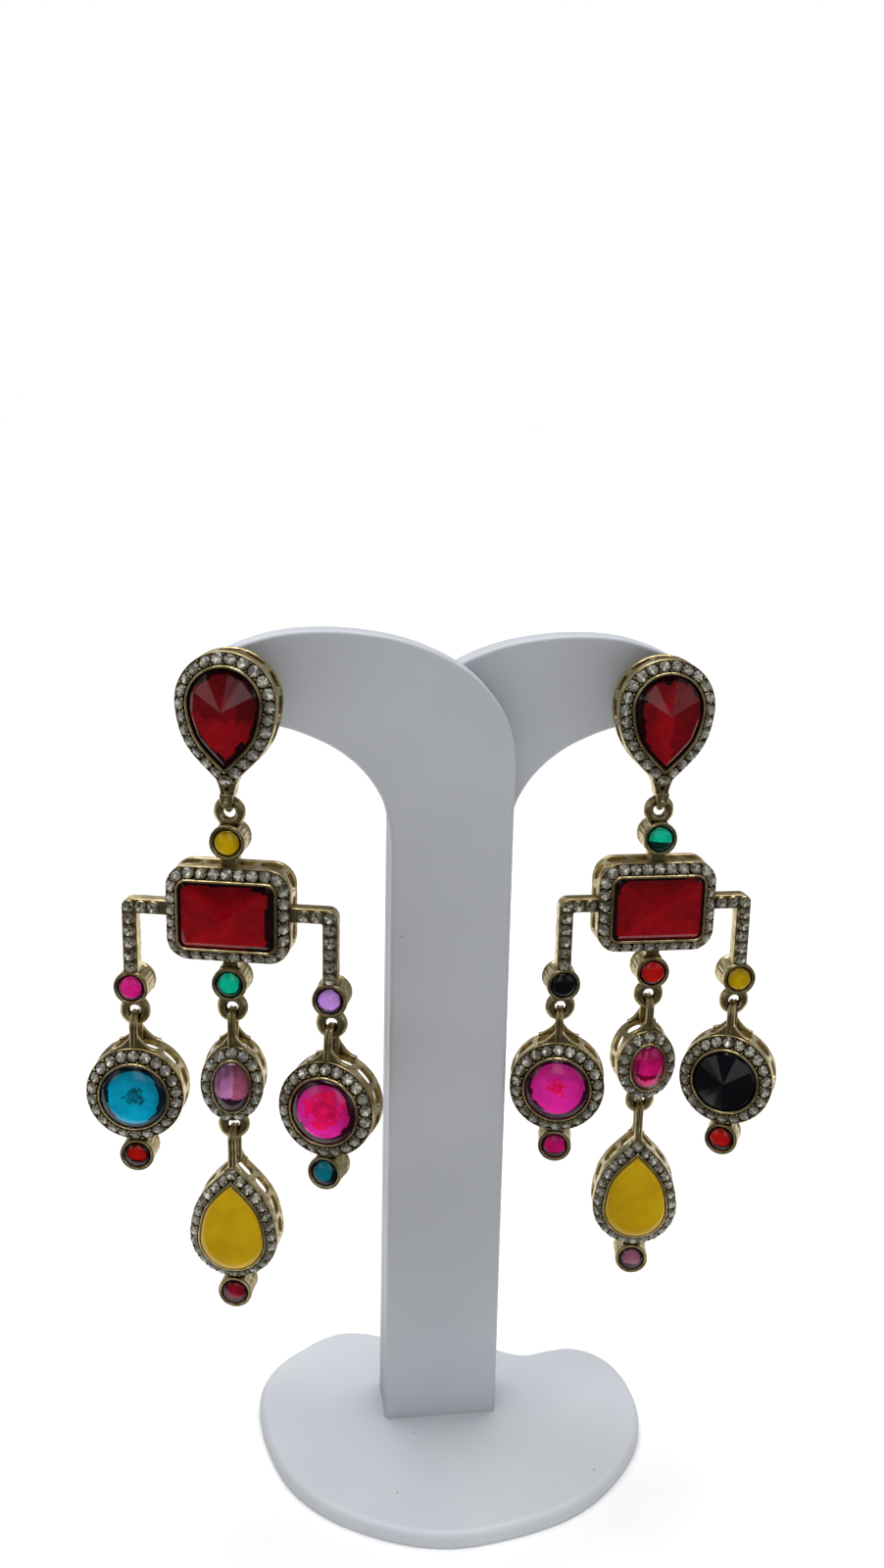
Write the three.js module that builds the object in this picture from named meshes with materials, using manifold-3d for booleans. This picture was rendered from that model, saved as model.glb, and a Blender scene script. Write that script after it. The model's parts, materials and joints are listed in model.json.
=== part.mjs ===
import * as THREE from "three";
import { mergeVertices } from "three/addons/utils/BufferGeometryUtils.js";
import Module from "manifold-3d";

const wasm = await Module();
wasm.setup();

// Millimetres, +Z up. The stand's underside is z = 0, its two plates meet at y = 0 and the
// front looks along -Y. Each part of an earring is drawn in its own frame: x right, z up,
// y backwards from the front of the bezel.

const TURN = Math.PI * 2;
const rad = (deg) => (deg * Math.PI) / 180;

// ---- Named dimensions ----

const gap = 0.3; // free space between neighbouring pieces

const stand = {
  baseThick: 2.4,
  baseRound: 0.9,
  plateThick: 4.5,
  plateRound: 1.2,
  hole: 1.5,
  armsFrom: 88, // the height above which a plate widens into its arm
  rearDrop: 1.5, // the rear plate's arm sits this much lower than the front one's
};

const setting = {
  seat: 1.5, // depth of the seat under the stone
  bezel: 0.35, // width of the bezel's front edge
  haloDeep: 1.2, // how far the paved slope falls back
  rim: 2.1,
  dish: 2.7,
  ringFront: 4.7, // the outline ring at the back
  ringBack: 5.5,
  ringWide: 1.0,
  closedFront: 4.2, // a stud is closed by a plate here instead
  closedBack: 4.9,
  post: 0.8,
};
const weld = { setting: 0.7, cup: 0.3 }; // how far soldered parts run into each other
const sides = { wire: 6, ring: 12, post: 8, bore: 10, clutch: 14, hole: 14 };
const steps = { arch: 6, plate: 46, foot: 44 };

// Stone windows with the width of the paved slope round each, and the posts behind it.
const types = {
  stud: { w: 9.85, h: 13.85, halo: 2.0, points: 18, posts: [2, 5, 8, 11, 14, 16] },
  rect: { w: 13.4, h: 9.55, halo: 1.95, points: 16, posts: [0, 3, 4, 7, 8, 11, 12, 15] },
  round: { w: 9.55, h: 9.55, halo: 2.2, points: 16, posts: [1, 7, 10, 14] },
  oval: { w: 5.1, h: 7.45, halo: 1.9, points: 12, posts: [1, 5, 7, 11] },
  pear: { w: 9.3, h: 13.6, halo: 1.75, points: 18, posts: [2, 5, 7, 12, 14, 16] },
};
const rectCorner = 1.2;

// How each stone rises over its bezel: [inset, height] steps of its crown, and the middle.
const crowns = {
  stud: { rises: [[2.6, 0.5]], middle: 0.9 },
  rect: { rises: [[1.1, 0.45]], middle: 0.8 },
  round: { rises: [[2.9, 1.45], [1.2, 0.8]], middle: 1.6 },
  oval: { rises: [[1.5, 1.15], [0.65, 0.65]], middle: 1.3 },
  pear: { rises: [[2.5, 1.1], [1.05, 0.6]], middle: 1.2 },
  cup: { rises: [[1.1, 0.45]], middle: 0.55 },
};

const cup = { window: 2.1, outer: 2.47, seat: 1.4, front: 0.9, back: 5.2, points: 10 };
const eye = { radius: 1.6, wire: 1.0, fromCup: 3.9, depth: 2.9 };
const bail = { wire: 0.9, half: 1.6, lift: 1.25 };
const loop = { radius: 1.45, wire: 0.9, depth: 2.5, centre: 0.2 };
const neck = { wide: 1.3, deep: 2.4, top: 2.9, bottom: 1.4 };
const ear = { post: 0.45, length: 12.5, above: 2.7 };
const clutch = { radius: 2.6, thick: 3.4, bore: 0.8, clear: 1.3 };
const arm = { wide: 1.7, front: 1.0, back: 4.2, z: 0.4 };
const bridge = { wide: 2.2, front: 1.7, back: 4.9 };

// Distances down one earring, from one part's centre to the next. A hanging part is measured
// from the bar it hangs on.
const layout = {
  studToBar: 11.4,
  barToTopCup: eye.fromCup + eye.radius,
  topCup: 10.15,
  middleCup: 10.1,
  sideX: 13.95,
  sideZ: 11.55,
  round: 10.4,
  roundTip: 9.45,
  oval: 9.15,
  ovalEye: 6.85,
  pear: 13.25,
  pearTip: 11.3,
};

// Where each stud sits, how far its frame reaches to the sides, and how far each part is
// turned about the vertical (degrees) or leans back.
const earrings = [
  {
    side: "left",
    x: -31.6,
    z: 114.8,
    plate: -stand.plateThick,
    reach: layout.sideX,
    turn: { stud: -14.9, frame: -14.5, left: -10.2, right: -23.2, oval: -7.1, pear: -14.6 },
    lean: { left: 0, right: -3.5, oval: -1, pear: 1.5 },
    colours: {
      stud: "ruby",
      rect: "ruby",
      top: "yellow",
      middle: "green",
      left: "pink",
      right: "lilac",
      dropLeft: "aqua",
      dropRight: "hotPink",
      tipLeft: "red",
      tipRight: "teal",
      oval: "mauve",
      pear: "mustard",
      pearTip: "crimson",
    },
  },
  {
    side: "right",
    x: 29.5,
    z: 112.8,
    plate: 0,
    reach: layout.sideX - 0.8,
    turn: { stud: -0.3, frame: 0.4, left: -12.2, right: -27, oval: 1.3, pear: -10 },
    lean: { left: -1, right: -3.8, oval: 4.5, pear: 0.5 },
    colours: {
      stud: "ruby",
      rect: "ruby",
      top: "green",
      middle: "red",
      left: "black",
      right: "yellow",
      dropLeft: "hotPink",
      dropRight: "black",
      tipLeft: "magenta",
      tipRight: "red",
      oval: "magenta",
      pear: "mustard",
      pearTip: "rose",
    },
  },
];
const studStandOff = 6.8; // from the plate to the front of the stud's bezel

const finish = {
  metal: { color: 0x8a7642, roughness: 0.38, metalness: 1 },
  stand: { color: 0xc2c5cc, roughness: 0.28, metalness: 0 },
  ruby: { color: 0xa01420, roughness: 0.08, metalness: 0 },
  yellow: { color: 0xbea500, roughness: 0.12, metalness: 0 },
  green: { color: 0x009678, roughness: 0.12, metalness: 0 },
  pink: { color: 0xc81e78, roughness: 0.12, metalness: 0 },
  lilac: { color: 0x9b5fb9, roughness: 0.12, metalness: 0 },
  aqua: { color: 0x008caf, roughness: 0.1, metalness: 0 },
  hotPink: { color: 0xc82882, roughness: 0.1, metalness: 0 },
  mauve: { color: 0xa56496, roughness: 0.1, metalness: 0 },
  teal: { color: 0x006e7d, roughness: 0.12, metalness: 0 },
  red: { color: 0xa01412, roughness: 0.12, metalness: 0 },
  crimson: { color: 0x780a23, roughness: 0.12, metalness: 0 },
  mustard: { color: 0xaa8c00, roughness: 0.18, metalness: 0 },
  black: { color: 0x0a0c14, roughness: 0.08, metalness: 0 },
  magenta: { color: 0xc01070, roughness: 0.1, metalness: 0 },
  rose: { color: 0x96556e, roughness: 0.12, metalness: 0 },
};

// A plate's outline in x and z with its arm to the left, from the right side of the post's top
// over the arm and back to the left side; the post below is straight.
const caneOutlinePoints = [
  [8.65, 95.9],
  [8.65, 102.9],
  [8.5, 108.4],
  [7.7, 112.1],
  [5.9, 115.5],
  [2.6, 119.2],
  [-1.8, 122.0],
  [-7.2, 124.1],
  [-13.0, 125.2],
  [-19.0, 125.5],
  [-25.0, 124.9],
  [-31.2, 122.7],
  [-35.2, 119.8],
  [-36.4, 116.5],
  [-34.9, 113.5],
  [-31.6, 112.4],
  [-27.6, 112.5],
  [-23.9, 112.2],
  [-19.9, 110.8],
  [-16.4, 109.0],
  [-13.2, 106.4],
  [-11.0, 103.6],
  [-9.6, 100.7],
  [-8.9, 97.4],
  [-8.65, 93.9],
];

// The foot's outline in x and y: a wide round front and, behind the post, two low lobes.
const footOutline = [
  [0.1, -30.1],
  [5.2, -29.5],
  [10.4, -28.3],
  [15.2, -26.6],
  [19.2, -24.3],
  [23.0, -21.1],
  [26.6, -16.9],
  [29.4, -12.4],
  [31.1, -7.0],
  [31.3, -0.4],
  [29.9, 5.5],
  [26.6, 9.6],
  [23.6, 10.8],
  [19.6, 10.4],
  [15.7, 9.8],
  [12.9, 10.8],
  [10.0, 13.4],
  [6.0, 15.6],
  [0.0, 16.2],
  [-6.4, 17.0],
  [-11.2, 18.8],
  [-15.6, 18.4],
  [-19.6, 15.8],
  [-23.8, 12.2],
  [-26.8, 7.3],
  [-27.8, 2.2],
  [-27.5, -2.8],
  [-26.4, -8.6],
  [-24.7, -13.8],
  [-22.4, -18.1],
  [-19.6, -21.4],
  [-16.8, -23.9],
  [-12.4, -26.7],
  [-8.0, -28.7],
  [-4.0, -29.8],
];

// ---- Solids from geometry ----

const solidOf = (geometry) => {
  const g = geometry.clone();
  g.deleteAttribute("normal");
  g.deleteAttribute("uv");
  const merged = mergeVertices(g, 1e-4);
  const make = (triVerts) =>
    new wasm.Manifold(
      new wasm.Mesh({
        numProp: 3,
        vertProperties: new Float32Array(merged.attributes.position.array),
        triVerts: new Uint32Array(triVerts),
      }),
    );
  const order = Array.from(merged.index.array);
  const made = make(order);
  return made.volume() < 0 ? make(order.reverse()) : made;
};

const geometryOf = (solid) => {
  const m = solid.getMesh();
  const g = new THREE.BufferGeometry();
  g.setAttribute("position", new THREE.BufferAttribute(m.vertProperties, 3));
  g.setIndex(new THREE.BufferAttribute(m.triVerts, 1));
  return g;
};

const fromLists = (vertices, faces) => {
  const g = new THREE.BufferGeometry();
  g.setAttribute("position", new THREE.BufferAttribute(new Float32Array(vertices), 3));
  g.setIndex(faces);
  return solidOf(g);
};

const join = (parts) => parts.slice(1).reduce((all, part) => all.add(part), parts[0]);

// ---- Outlines: points that know which way they move when the outline grows ----

const grow = (outline, by) => outline.map((p) => [p.x + p.dx * by, p.z + p.dz * by]);

const ellipse = (w, h, count) =>
  Array.from({ length: count }, (_, i) => {
    const a = (TURN * i) / count;
    const nx = Math.cos(a) / w;
    const nz = Math.sin(a) / h;
    const n = Math.hypot(nx, nz);
    return { x: (w / 2) * Math.cos(a), z: (h / 2) * Math.sin(a), dx: nx / n, dz: nz / n };
  });

const roundRect = (w, h, r, perCorner) => {
  const corners = [
    { sx: 1, sz: 1, start: 0 },
    { sx: -1, sz: 1, start: 90 },
    { sx: -1, sz: -1, start: 180 },
    { sx: 1, sz: -1, start: 270 },
  ];
  return corners.flatMap(({ sx, sz, start }) =>
    Array.from({ length: perCorner }, (_, i) => {
      const a = rad(start + (90 * i) / (perCorner - 1));
      const dx = Math.cos(a);
      const dz = Math.sin(a);
      return { x: sx * (w / 2 - r) + r * dx, z: sz * (h / 2 - r) + r * dz, dx, dz };
    }),
  );
};

// How a pear's flanks run: where they leave the round end, as a share of a straight flank's
// angle, their bulge as a share of the height, how far the point moves as a pear grows, and
// where along a flank its corners are.
const pearShape = { leave: 1.3, bulge: 0.3, point: 1.25, flankSteps: [0.3, 0.62, 0.86] };

// A pear, its point up (1) or down (-1): two flanks run from the point on to a round end.
const pear = (w, h, up, count) => {
  const r = w / 2;
  const point = h - r;
  const middle = (point - r) / 2;
  const touch = Math.acos(r / point) * pearShape.leave;
  const { flankSteps } = pearShape;
  const flank = (side) =>
    flankSteps.map((t) => {
      const bulge = pearShape.bulge * h * t * (1 - t);
      const nx = Math.sin(touch);
      const nz = Math.cos(touch);
      const x = r * nx * t + bulge * nx;
      const z = point + (r * nz - point) * t + bulge * nz;
      // square to the flank here
      const steeper = pearShape.bulge * h * (1 - 2 * t);
      const along = [nx * (r + steeper), nz * (r + steeper) - point];
      const n = Math.hypot(...along);
      return { x: side * x, z, dx: (-side * along[1]) / n, dz: along[0] / n };
    });
  const roundCount = count - 1 - 2 * flankSteps.length;
  const round = Array.from({ length: roundCount }, (_, i) => {
    const a = touch + ((TURN - 2 * touch) * i) / (roundCount - 1);
    return { x: -r * Math.sin(a), z: r * Math.cos(a), dx: -Math.sin(a), dz: Math.cos(a) };
  });
  const points = [
    { x: 0, z: point, dx: 0, dz: pearShape.point },
    ...flank(-1),
    ...round,
    ...flank(1).reverse(),
  ];
  return points.map((p) => ({ ...p, z: (p.z - middle) * up, dz: p.dz * up }));
};

// A solid swept round an outline through [grow, depth] stages. With ends, each end closes at
// its depth by a fan from the middle; without, the last stage joins the first.
const shell = (outline, stages, ends) => {
  const count = outline.length;
  const vertices = [];
  const faces = [];
  for (const [by, depth] of stages) {
    for (const [x, z] of grow(outline, by)) vertices.push(x, depth, z);
  }
  const at = (stage, i) => stage * count + (i % count);
  const bands = ends ? stages.length - 1 : stages.length;
  for (let s = 0; s < bands; s++) {
    const next = (s + 1) % stages.length;
    for (let i = 0; i < count; i++) {
      faces.push(at(s, i), at(next, i), at(next, i + 1));
      faces.push(at(s, i), at(next, i + 1), at(s, i + 1));
    }
  }
  if (ends) {
    const last = stages.length - 1;
    const front = vertices.push(0, ends.front, 0) / 3 - 1;
    const back = vertices.push(0, ends.back, 0) / 3 - 1;
    for (let i = 0; i < count; i++) {
      faces.push(front, at(0, i), at(0, i + 1));
      faces.push(back, at(last, i + 1), at(last, i));
    }
  }
  return fromLists(vertices, faces);
};

const block = (size, place, turn = 0) => {
  const g = new THREE.BoxGeometry(...size);
  g.rotateY(turn);
  g.translate(...place);
  return solidOf(g);
};

const rodBack = (radius, from, to, sides, z) => {
  const g = new THREE.CylinderGeometry(radius, radius, to - from, sides);
  g.translate(0, (from + to) / 2, z);
  return solidOf(g);
};

// A round wire ring, facing front or edge-on.
const wireRing = (radius, wire, edgeOn, depth, z) => {
  const g = new THREE.TorusGeometry(radius, wire / 2, sides.wire, sides.ring);
  if (edgeOn) g.rotateY(Math.PI / 2);
  else g.rotateX(Math.PI / 2);
  g.translate(0, depth, z);
  return solidOf(g);
};

// A round wire along [y, z] points in the plane x = 0.
const wireAlong = (points, wire) => {
  const path = new THREE.CurvePath();
  const corners = points.map(([y, z]) => new THREE.Vector3(0, y, z));
  corners.slice(1).forEach((to, i) => path.add(new THREE.LineCurve3(corners[i], to)));
  const section = new THREE.Shape(
    Array.from({ length: sides.wire }, (_, k) => {
      const a = (TURN * k) / sides.wire;
      return new THREE.Vector2((wire / 2) * Math.cos(a), (wire / 2) * Math.sin(a));
    }),
  );
  const options = { steps: 2 * (points.length - 1), extrudePath: path, bevelEnabled: false };
  return solidOf(new THREE.ExtrudeGeometry(section, options));
};

// ---- Parts of the settings ----

const outlines = {
  stud: pear(types.stud.w, types.stud.h, -1, types.stud.points),
  rect: roundRect(types.rect.w, types.rect.h, rectCorner, types.rect.points / 4),
  round: ellipse(types.round.w, types.round.h, types.round.points),
  oval: ellipse(types.oval.w, types.oval.h, types.oval.points),
  pear: pear(types.pear.w, types.pear.h, 1, types.pear.points),
  cup: ellipse(cup.window * 2, cup.window * 2, cup.points),
};

// A dish with its bezel and paved slope, a ring or plate behind it, and posts between.
const settingOf = (type, closed = false) => {
  const outline = outlines[type];
  const { halo, posts } = types[type];
  const dish = shell(
    outline,
    [
      [0, setting.seat],
      [0, 0],
      [setting.bezel, 0],
      [halo, setting.haloDeep],
      [halo, setting.rim],
      [setting.bezel, setting.dish],
    ],
    { front: setting.seat, back: setting.dish },
  );
  const back = closed ? setting.closedBack : setting.ringBack;
  const front = closed ? setting.closedFront : setting.ringFront;
  const plate = closed
    ? shell(outline, [[halo, front], [halo, back]], { front, back })
    : shell(outline, [
        [halo - setting.ringWide, back],
        [halo - setting.ringWide, front],
        [halo, front],
        [halo, back],
      ]);
  const from = setting.rim - weld.cup;
  const to = front + weld.cup;
  const middle = halo - setting.post / 2;
  const uprights = posts.map((i) => {
    const { x, z, dx, dz } = outline[i];
    const size = [setting.post, to - from, setting.post];
    return block(size, [x + dx * middle, (from + to) / 2, z + dz * middle], -Math.atan2(dz, dx));
  });
  return join([dish, plate, ...uprights]);
};

const openCup = () => {
  const wall = cup.outer - cup.window;
  return shell(
    outlines.cup,
    [
      [0, cup.front + cup.seat],
      [0, cup.front],
      [wall, cup.front],
      [wall, cup.back],
    ],
    { front: cup.front + cup.seat, back: cup.back },
  );
};

const bigEdge = (type) => types[type].h / 2 + types[type].halo;

// A bail over the bar at z = 0, its legs running down to a setting's top edge.
const bailTo = (top) => {
  const arch = Array.from({ length: steps.arch + 1 }, (_, i) => {
    const a = (Math.PI * i) / steps.arch;
    return [
      eye.depth - bail.half * Math.cos(a),
      bail.lift - bail.half + bail.half * Math.sin(a),
    ];
  });
  const foot = top - weld.setting;
  const path = [[eye.depth - bail.half, foot], ...arch, [eye.depth + bail.half, foot]];
  return wireAlong(path, bail.wire);
};

const eyeUnderCup = () => wireRing(eye.radius, eye.wire, false, eye.depth, -eye.fromCup);

const stoneOf = (type, front = 0, seat = setting.seat) => {
  const { rises, middle } = crowns[type];
  const back = front + seat - gap;
  return shell(
    outlines[type],
    [...rises.map(([inset, rise]) => [-inset, front - rise]), [-gap, front], [-gap, back]],
    { front: front - middle, back },
  );
};

const cupStone = () => stoneOf("cup", cup.front, cup.seat);

// ---- Metal pieces, each one soldered solid ----

const studMetal = () => {
  const bar = -layout.studToBar;
  return join([
    settingOf("stud", true),
    wireRing(loop.radius, loop.wire, true, loop.depth, bar + loop.centre),
    block(
      [neck.wide, neck.deep, neck.top - neck.bottom],
      [0, loop.depth, bar + (neck.top + neck.bottom) / 2],
    ),
    rodBack(ear.post, setting.closedFront, setting.closedBack + ear.length, sides.post, ear.above),
  ]);
};

const clutchMetal = () => {
  const front = studStandOff + stand.plateThick + clutch.clear;
  const bore = rodBack(clutch.bore, 0, 2 * front, sides.bore, ear.above);
  const back = front + clutch.thick;
  return rodBack(clutch.radius, front, back, sides.clutch, ear.above).subtract(bore);
};

const armShape = (side, reach) => {
  const half = arm.wide / 2;
  const inner = types.rect.w / 2 + types.rect.halo - weld.setting;
  const foot = -layout.sideZ + cup.outer - weld.cup;
  const shape = new THREE.Shape();
  shape.moveTo(side * inner, arm.z + half);
  shape.lineTo(side * (reach + half), arm.z + half);
  shape.lineTo(side * (reach + half), foot);
  shape.lineTo(side * (reach - half), foot);
  shape.lineTo(side * (reach - half), arm.z - half);
  shape.lineTo(side * inner, arm.z - half);
  const g = new THREE.ExtrudeGeometry(shape, { depth: arm.back - arm.front, bevelEnabled: false });
  g.rotateX(Math.PI / 2);
  g.translate(0, arm.back, 0);
  return solidOf(g);
};

// The frame hangs from its top eye: z = 0 is that eye's top bar.
const frameCentre = -(layout.barToTopCup + layout.topCup);
const frameCups = (reach) => [
  { name: "top", x: 0, z: -layout.barToTopCup, eyeUp: true },
  { name: "middle", x: 0, z: frameCentre - layout.middleCup },
  { name: "left", x: -reach, z: frameCentre - layout.sideZ },
  { name: "right", x: reach, z: frameCentre - layout.sideZ },
];

const bridgeTo = (z0, z1) =>
  block(
    [bridge.wide, bridge.back - bridge.front, Math.abs(z1 - z0)],
    [0, (bridge.front + bridge.back) / 2, (z0 + z1) / 2],
  );

// A bridge from a setting at z0 that runs a little into a cup whose rim is at z1.
const bridgeToCup = (z0, z1) => bridgeTo(z0, z1 - Math.sign(z0 - z1) * weld.cup);

const frameMetal = (reach) => {
  const edge = bigEdge("rect");
  const parts = [
    settingOf("rect").translate(0, 0, frameCentre),
    bridgeToCup(frameCentre + edge - weld.setting, -layout.barToTopCup - cup.outer),
    bridgeToCup(frameCentre - edge + weld.setting, frameCentre - layout.middleCup + cup.outer),
    armShape(-1, reach).translate(0, 0, frameCentre),
    armShape(1, reach).translate(0, 0, frameCentre),
  ];
  for (const { x, z, eyeUp } of frameCups(reach)) {
    parts.push(openCup().translate(x, 0, z));
    const ring = eyeUnderCup();
    parts.push((eyeUp ? ring.scale([1, 1, -1]) : ring).translate(x, 0, z));
  }
  return join(parts);
};

// A hanging setting: z = 0 is the bar it hangs on.
const hangingMetal = (type, below, tip) => {
  const parts = [
    settingOf(type).translate(0, 0, -below),
    bailTo(-below + bigEdge(type)),
  ];
  const edge = -below - bigEdge(type) + weld.setting;
  if (tip) {
    parts.push(openCup().translate(0, 0, -below - tip));
    parts.push(bridgeToCup(edge, -below - tip + cup.outer));
  } else {
    const ringTop = -below - layout.ovalEye + eye.radius;
    parts.push(wireRing(eye.radius, eye.wire, false, eye.depth, ringTop - eye.radius));
    parts.push(bridgeTo(edge, ringTop));
  }
  return join(parts);
};

// ---- Stand ----

const along = (points, closed, count) =>
  new THREE.CatmullRomCurve3(
    points.map(([a, b]) => new THREE.Vector3(a, b, 0)),
    closed,
    "centripetal",
  ).getSpacedPoints(count);

// A flat outline's points with the way that each moves when it grows.
const inset = (points) =>
  points.map((p, i) => {
    const before = points[(i + points.length - 1) % points.length];
    const after = points[(i + 1) % points.length];
    const dx = after[0] - before[0];
    const dz = after[1] - before[1];
    const n = Math.hypot(dx, dz);
    return { x: p[0], z: p[1], dx: dz / n, dz: -dx / n };
  });

const edgeMiddle = 0.3; // the middle of a rounded edge, as a share of its radius

// A plate with rounded front and back edges, drawn in x and z and thick along y.
const roundedPlate = (points, thick, round, roundBack) => {
  const outline = inset(points);
  const front = [
    [-round, 0],
    [-round * edgeMiddle, round * edgeMiddle],
    [0, round],
  ];
  const back = roundBack ? front.map(([by, d]) => [by, thick - d]).reverse() : [[0, thick]];
  const stages = [...front, ...back];
  const polygon = (by) => grow(outline, by).map(([x, z]) => new THREE.Vector2(x, z));
  const cap = THREE.ShapeUtils.triangulateShape(polygon(0), []);
  const count = outline.length;
  const vertices = [];
  const faces = [];
  for (const [by, depth] of stages) {
    for (const { x, y } of polygon(by)) vertices.push(x, depth, y);
  }
  for (let s = 0; s + 1 < stages.length; s++) {
    for (let i = 0; i < count; i++) {
      const a = s * count + i;
      const b = s * count + ((i + 1) % count);
      faces.push(a, a + count, b + count, a, b + count, b);
    }
  }
  const last = (stages.length - 1) * count;
  for (const [a, b, c] of cap) {
    faces.push(a, b, c);
    faces.push(last + c, last + b, last + a);
  }
  return fromLists(vertices, faces);
};

const caneOutline = () => {
  const top = along(caneOutlinePoints, false, steps.plate).map((p) => [p.x, p.y]);
  const foot = stand.baseThick + gap;
  const postHalf = caneOutlinePoints[0][0];
  return [[postHalf, foot], ...top, [-postHalf, foot]];
};

const plateHole = (x, z) =>
  rodBack(stand.hole, -2 * stand.plateThick, 2 * stand.plateThick, sides.hole, z).translate(x, 0, 0);

const frontPlate = (hole) =>
  roundedPlate(caneOutline(), stand.plateThick - gap / 2, stand.plateRound, false)
    .translate(0, -stand.plateThick, 0)
    .subtract(plateHole(hole.x, hole.z));

const rearPlate = (hole) => {
  const points = caneOutline()
    .map(([x, z]) => [-x, z > stand.armsFrom ? z - stand.rearDrop : z])
    .reverse();
  return roundedPlate(points, stand.plateThick - gap / 2, stand.plateRound, true)
    .translate(0, gap / 2, 0)
    .subtract(plateHole(hole.x, hole.z));
};

const standBase = () => {
  const points = along(footOutline, true, steps.foot)
    .slice(0, steps.foot)
    .map((p) => [p.x, p.y]);
  return roundedPlate(points, stand.baseThick, stand.baseRound, false)
    .rotate([-90, 0, 0])
    .translate(0, 0, stand.baseThick);
};

// ---- Assembly ----

const group = new THREE.Group();

const add = (name, solid, finishName) => {
  const { color, roughness, metalness } = finish[finishName];
  const material = new THREE.MeshStandardMaterial({ color, roughness, metalness });
  const mesh = new THREE.Mesh(geometryOf(solid), material);
  mesh.name = name;
  group.add(mesh);
};

// A frame of reference: a place, a turn about the vertical and a lean about its own x.
const placed = (origin, turn, lean = 0) => {
  const place = new THREE.Matrix4().makeTranslation(...origin);
  const spin = new THREE.Matrix4().makeRotationZ(rad(turn));
  const tilt = new THREE.Matrix4().makeRotationX(rad(lean));
  return place.multiply(spin).multiply(tilt);
};

const shiftBack = (depth) => new THREE.Matrix4().makeTranslation(0, depth, 0);
const pointIn = (matrix, x, y, z) => new THREE.Vector3(x, y, z).applyMatrix4(matrix).toArray();

// The frame of a part that hangs on the bar at x and z of the part over it.
const hangingIn = (over, x, z, turn, lean) =>
  placed(pointIn(over, x, eye.depth, z), turn, lean).multiply(shiftBack(-eye.depth));
const barUnder = (z) => z - eye.fromCup - eye.radius;

const addEarring = ({ side, x, z, plate, reach, turn, lean, colours }) => {
  const addIn = (axes, name, solid, finishName) =>
    add(side + "_" + name, solid.transform(axes.elements), finishName);

  const stud = placed([x, plate - studStandOff, z], turn.stud);
  addIn(stud, "stud", studMetal(), "metal");
  addIn(stud, "stud_stone", stoneOf("stud"), colours.stud);
  addIn(stud, "clutch", clutchMetal(), "metal");

  const bar = pointIn(stud, 0, loop.depth, -layout.studToBar);
  const frame = placed(bar, turn.frame).multiply(shiftBack(-eye.depth));
  addIn(frame, "frame", frameMetal(reach), "metal");
  addIn(frame, "frame_stone", stoneOf("rect").translate(0, 0, frameCentre), colours.rect);
  for (const cupAt of frameCups(reach)) {
    const stone = cupStone().translate(cupAt.x, 0, cupAt.z);
    addIn(frame, "cup_stone_" + cupAt.name, stone, colours[cupAt.name]);
  }

  // a hanging setting with its stone and, if it has one, the small stone of its tip
  const addHanging = (axes, type, names, colour, tipColour) => {
    const below = layout[type];
    const tip = layout[type + "Tip"];
    addIn(axes, names.metal, hangingMetal(type, below, tip), "metal");
    addIn(axes, names.stone + "_stone", stoneOf(type).translate(0, 0, -below), colour);
    if (!tip) return;
    addIn(axes, names.stone + "_tip_stone", cupStone().translate(0, 0, -below - tip), tipColour);
  };
  const sideBar = barUnder(frameCentre - layout.sideZ);
  const left = hangingIn(frame, -reach, sideBar, turn.left, lean.left);
  const right = hangingIn(frame, reach, sideBar, turn.right, lean.right);
  const leftNames = { metal: "drop_left", stone: "drop_left" };
  const rightNames = { metal: "drop_right", stone: "drop_right" };
  addHanging(left, "round", leftNames, colours.dropLeft, colours.tipLeft);
  addHanging(right, "round", rightNames, colours.dropRight, colours.tipRight);

  const middleBar = barUnder(frameCentre - layout.middleCup);
  const oval = hangingIn(frame, 0, middleBar, turn.oval, lean.oval);
  addHanging(oval, "oval", { metal: "oval_link", stone: "oval" }, colours.oval);
  const pearBar = -layout.oval - layout.ovalEye - eye.radius;
  const pearAxes = hangingIn(oval, 0, pearBar, turn.pear, lean.pear);
  const pearNames = { metal: "pear_drop", stone: "pear" };
  addHanging(pearAxes, "pear", pearNames, colours.pear, colours.pearTip);
};

// Where the ear post crosses the middle of the plate's thickness.
const holeOf = (e) => {
  const toMiddle = studStandOff + stand.plateThick / 2;
  return { x: e.x - toMiddle * Math.tan(rad(e.turn.stud)), z: e.z + ear.above };
};

earrings.forEach(addEarring);
const [leftEarring, rightEarring] = earrings;
add("stand_base", standBase(), "stand");
add("stand_front_plate", frontPlate(holeOf(leftEarring)), "stand");
add("stand_rear_plate", rearPlate(holeOf(rightEarring)), "stand");

export default group;
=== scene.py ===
"""A white two-armed stand with a pair of antique-gold chandelier earrings.

Small shapes are drawn in millimetres in their setting's own axes: x right, z up and y
backwards from the front of the bezel. A setting's axes come from its stone's solid.
"""

import functools
import json
import math
import random

import bmesh
import bpy
import numpy as np
from mathutils import Matrix, Vector
from mathutils.geometry import tessellate_polygon


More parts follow.
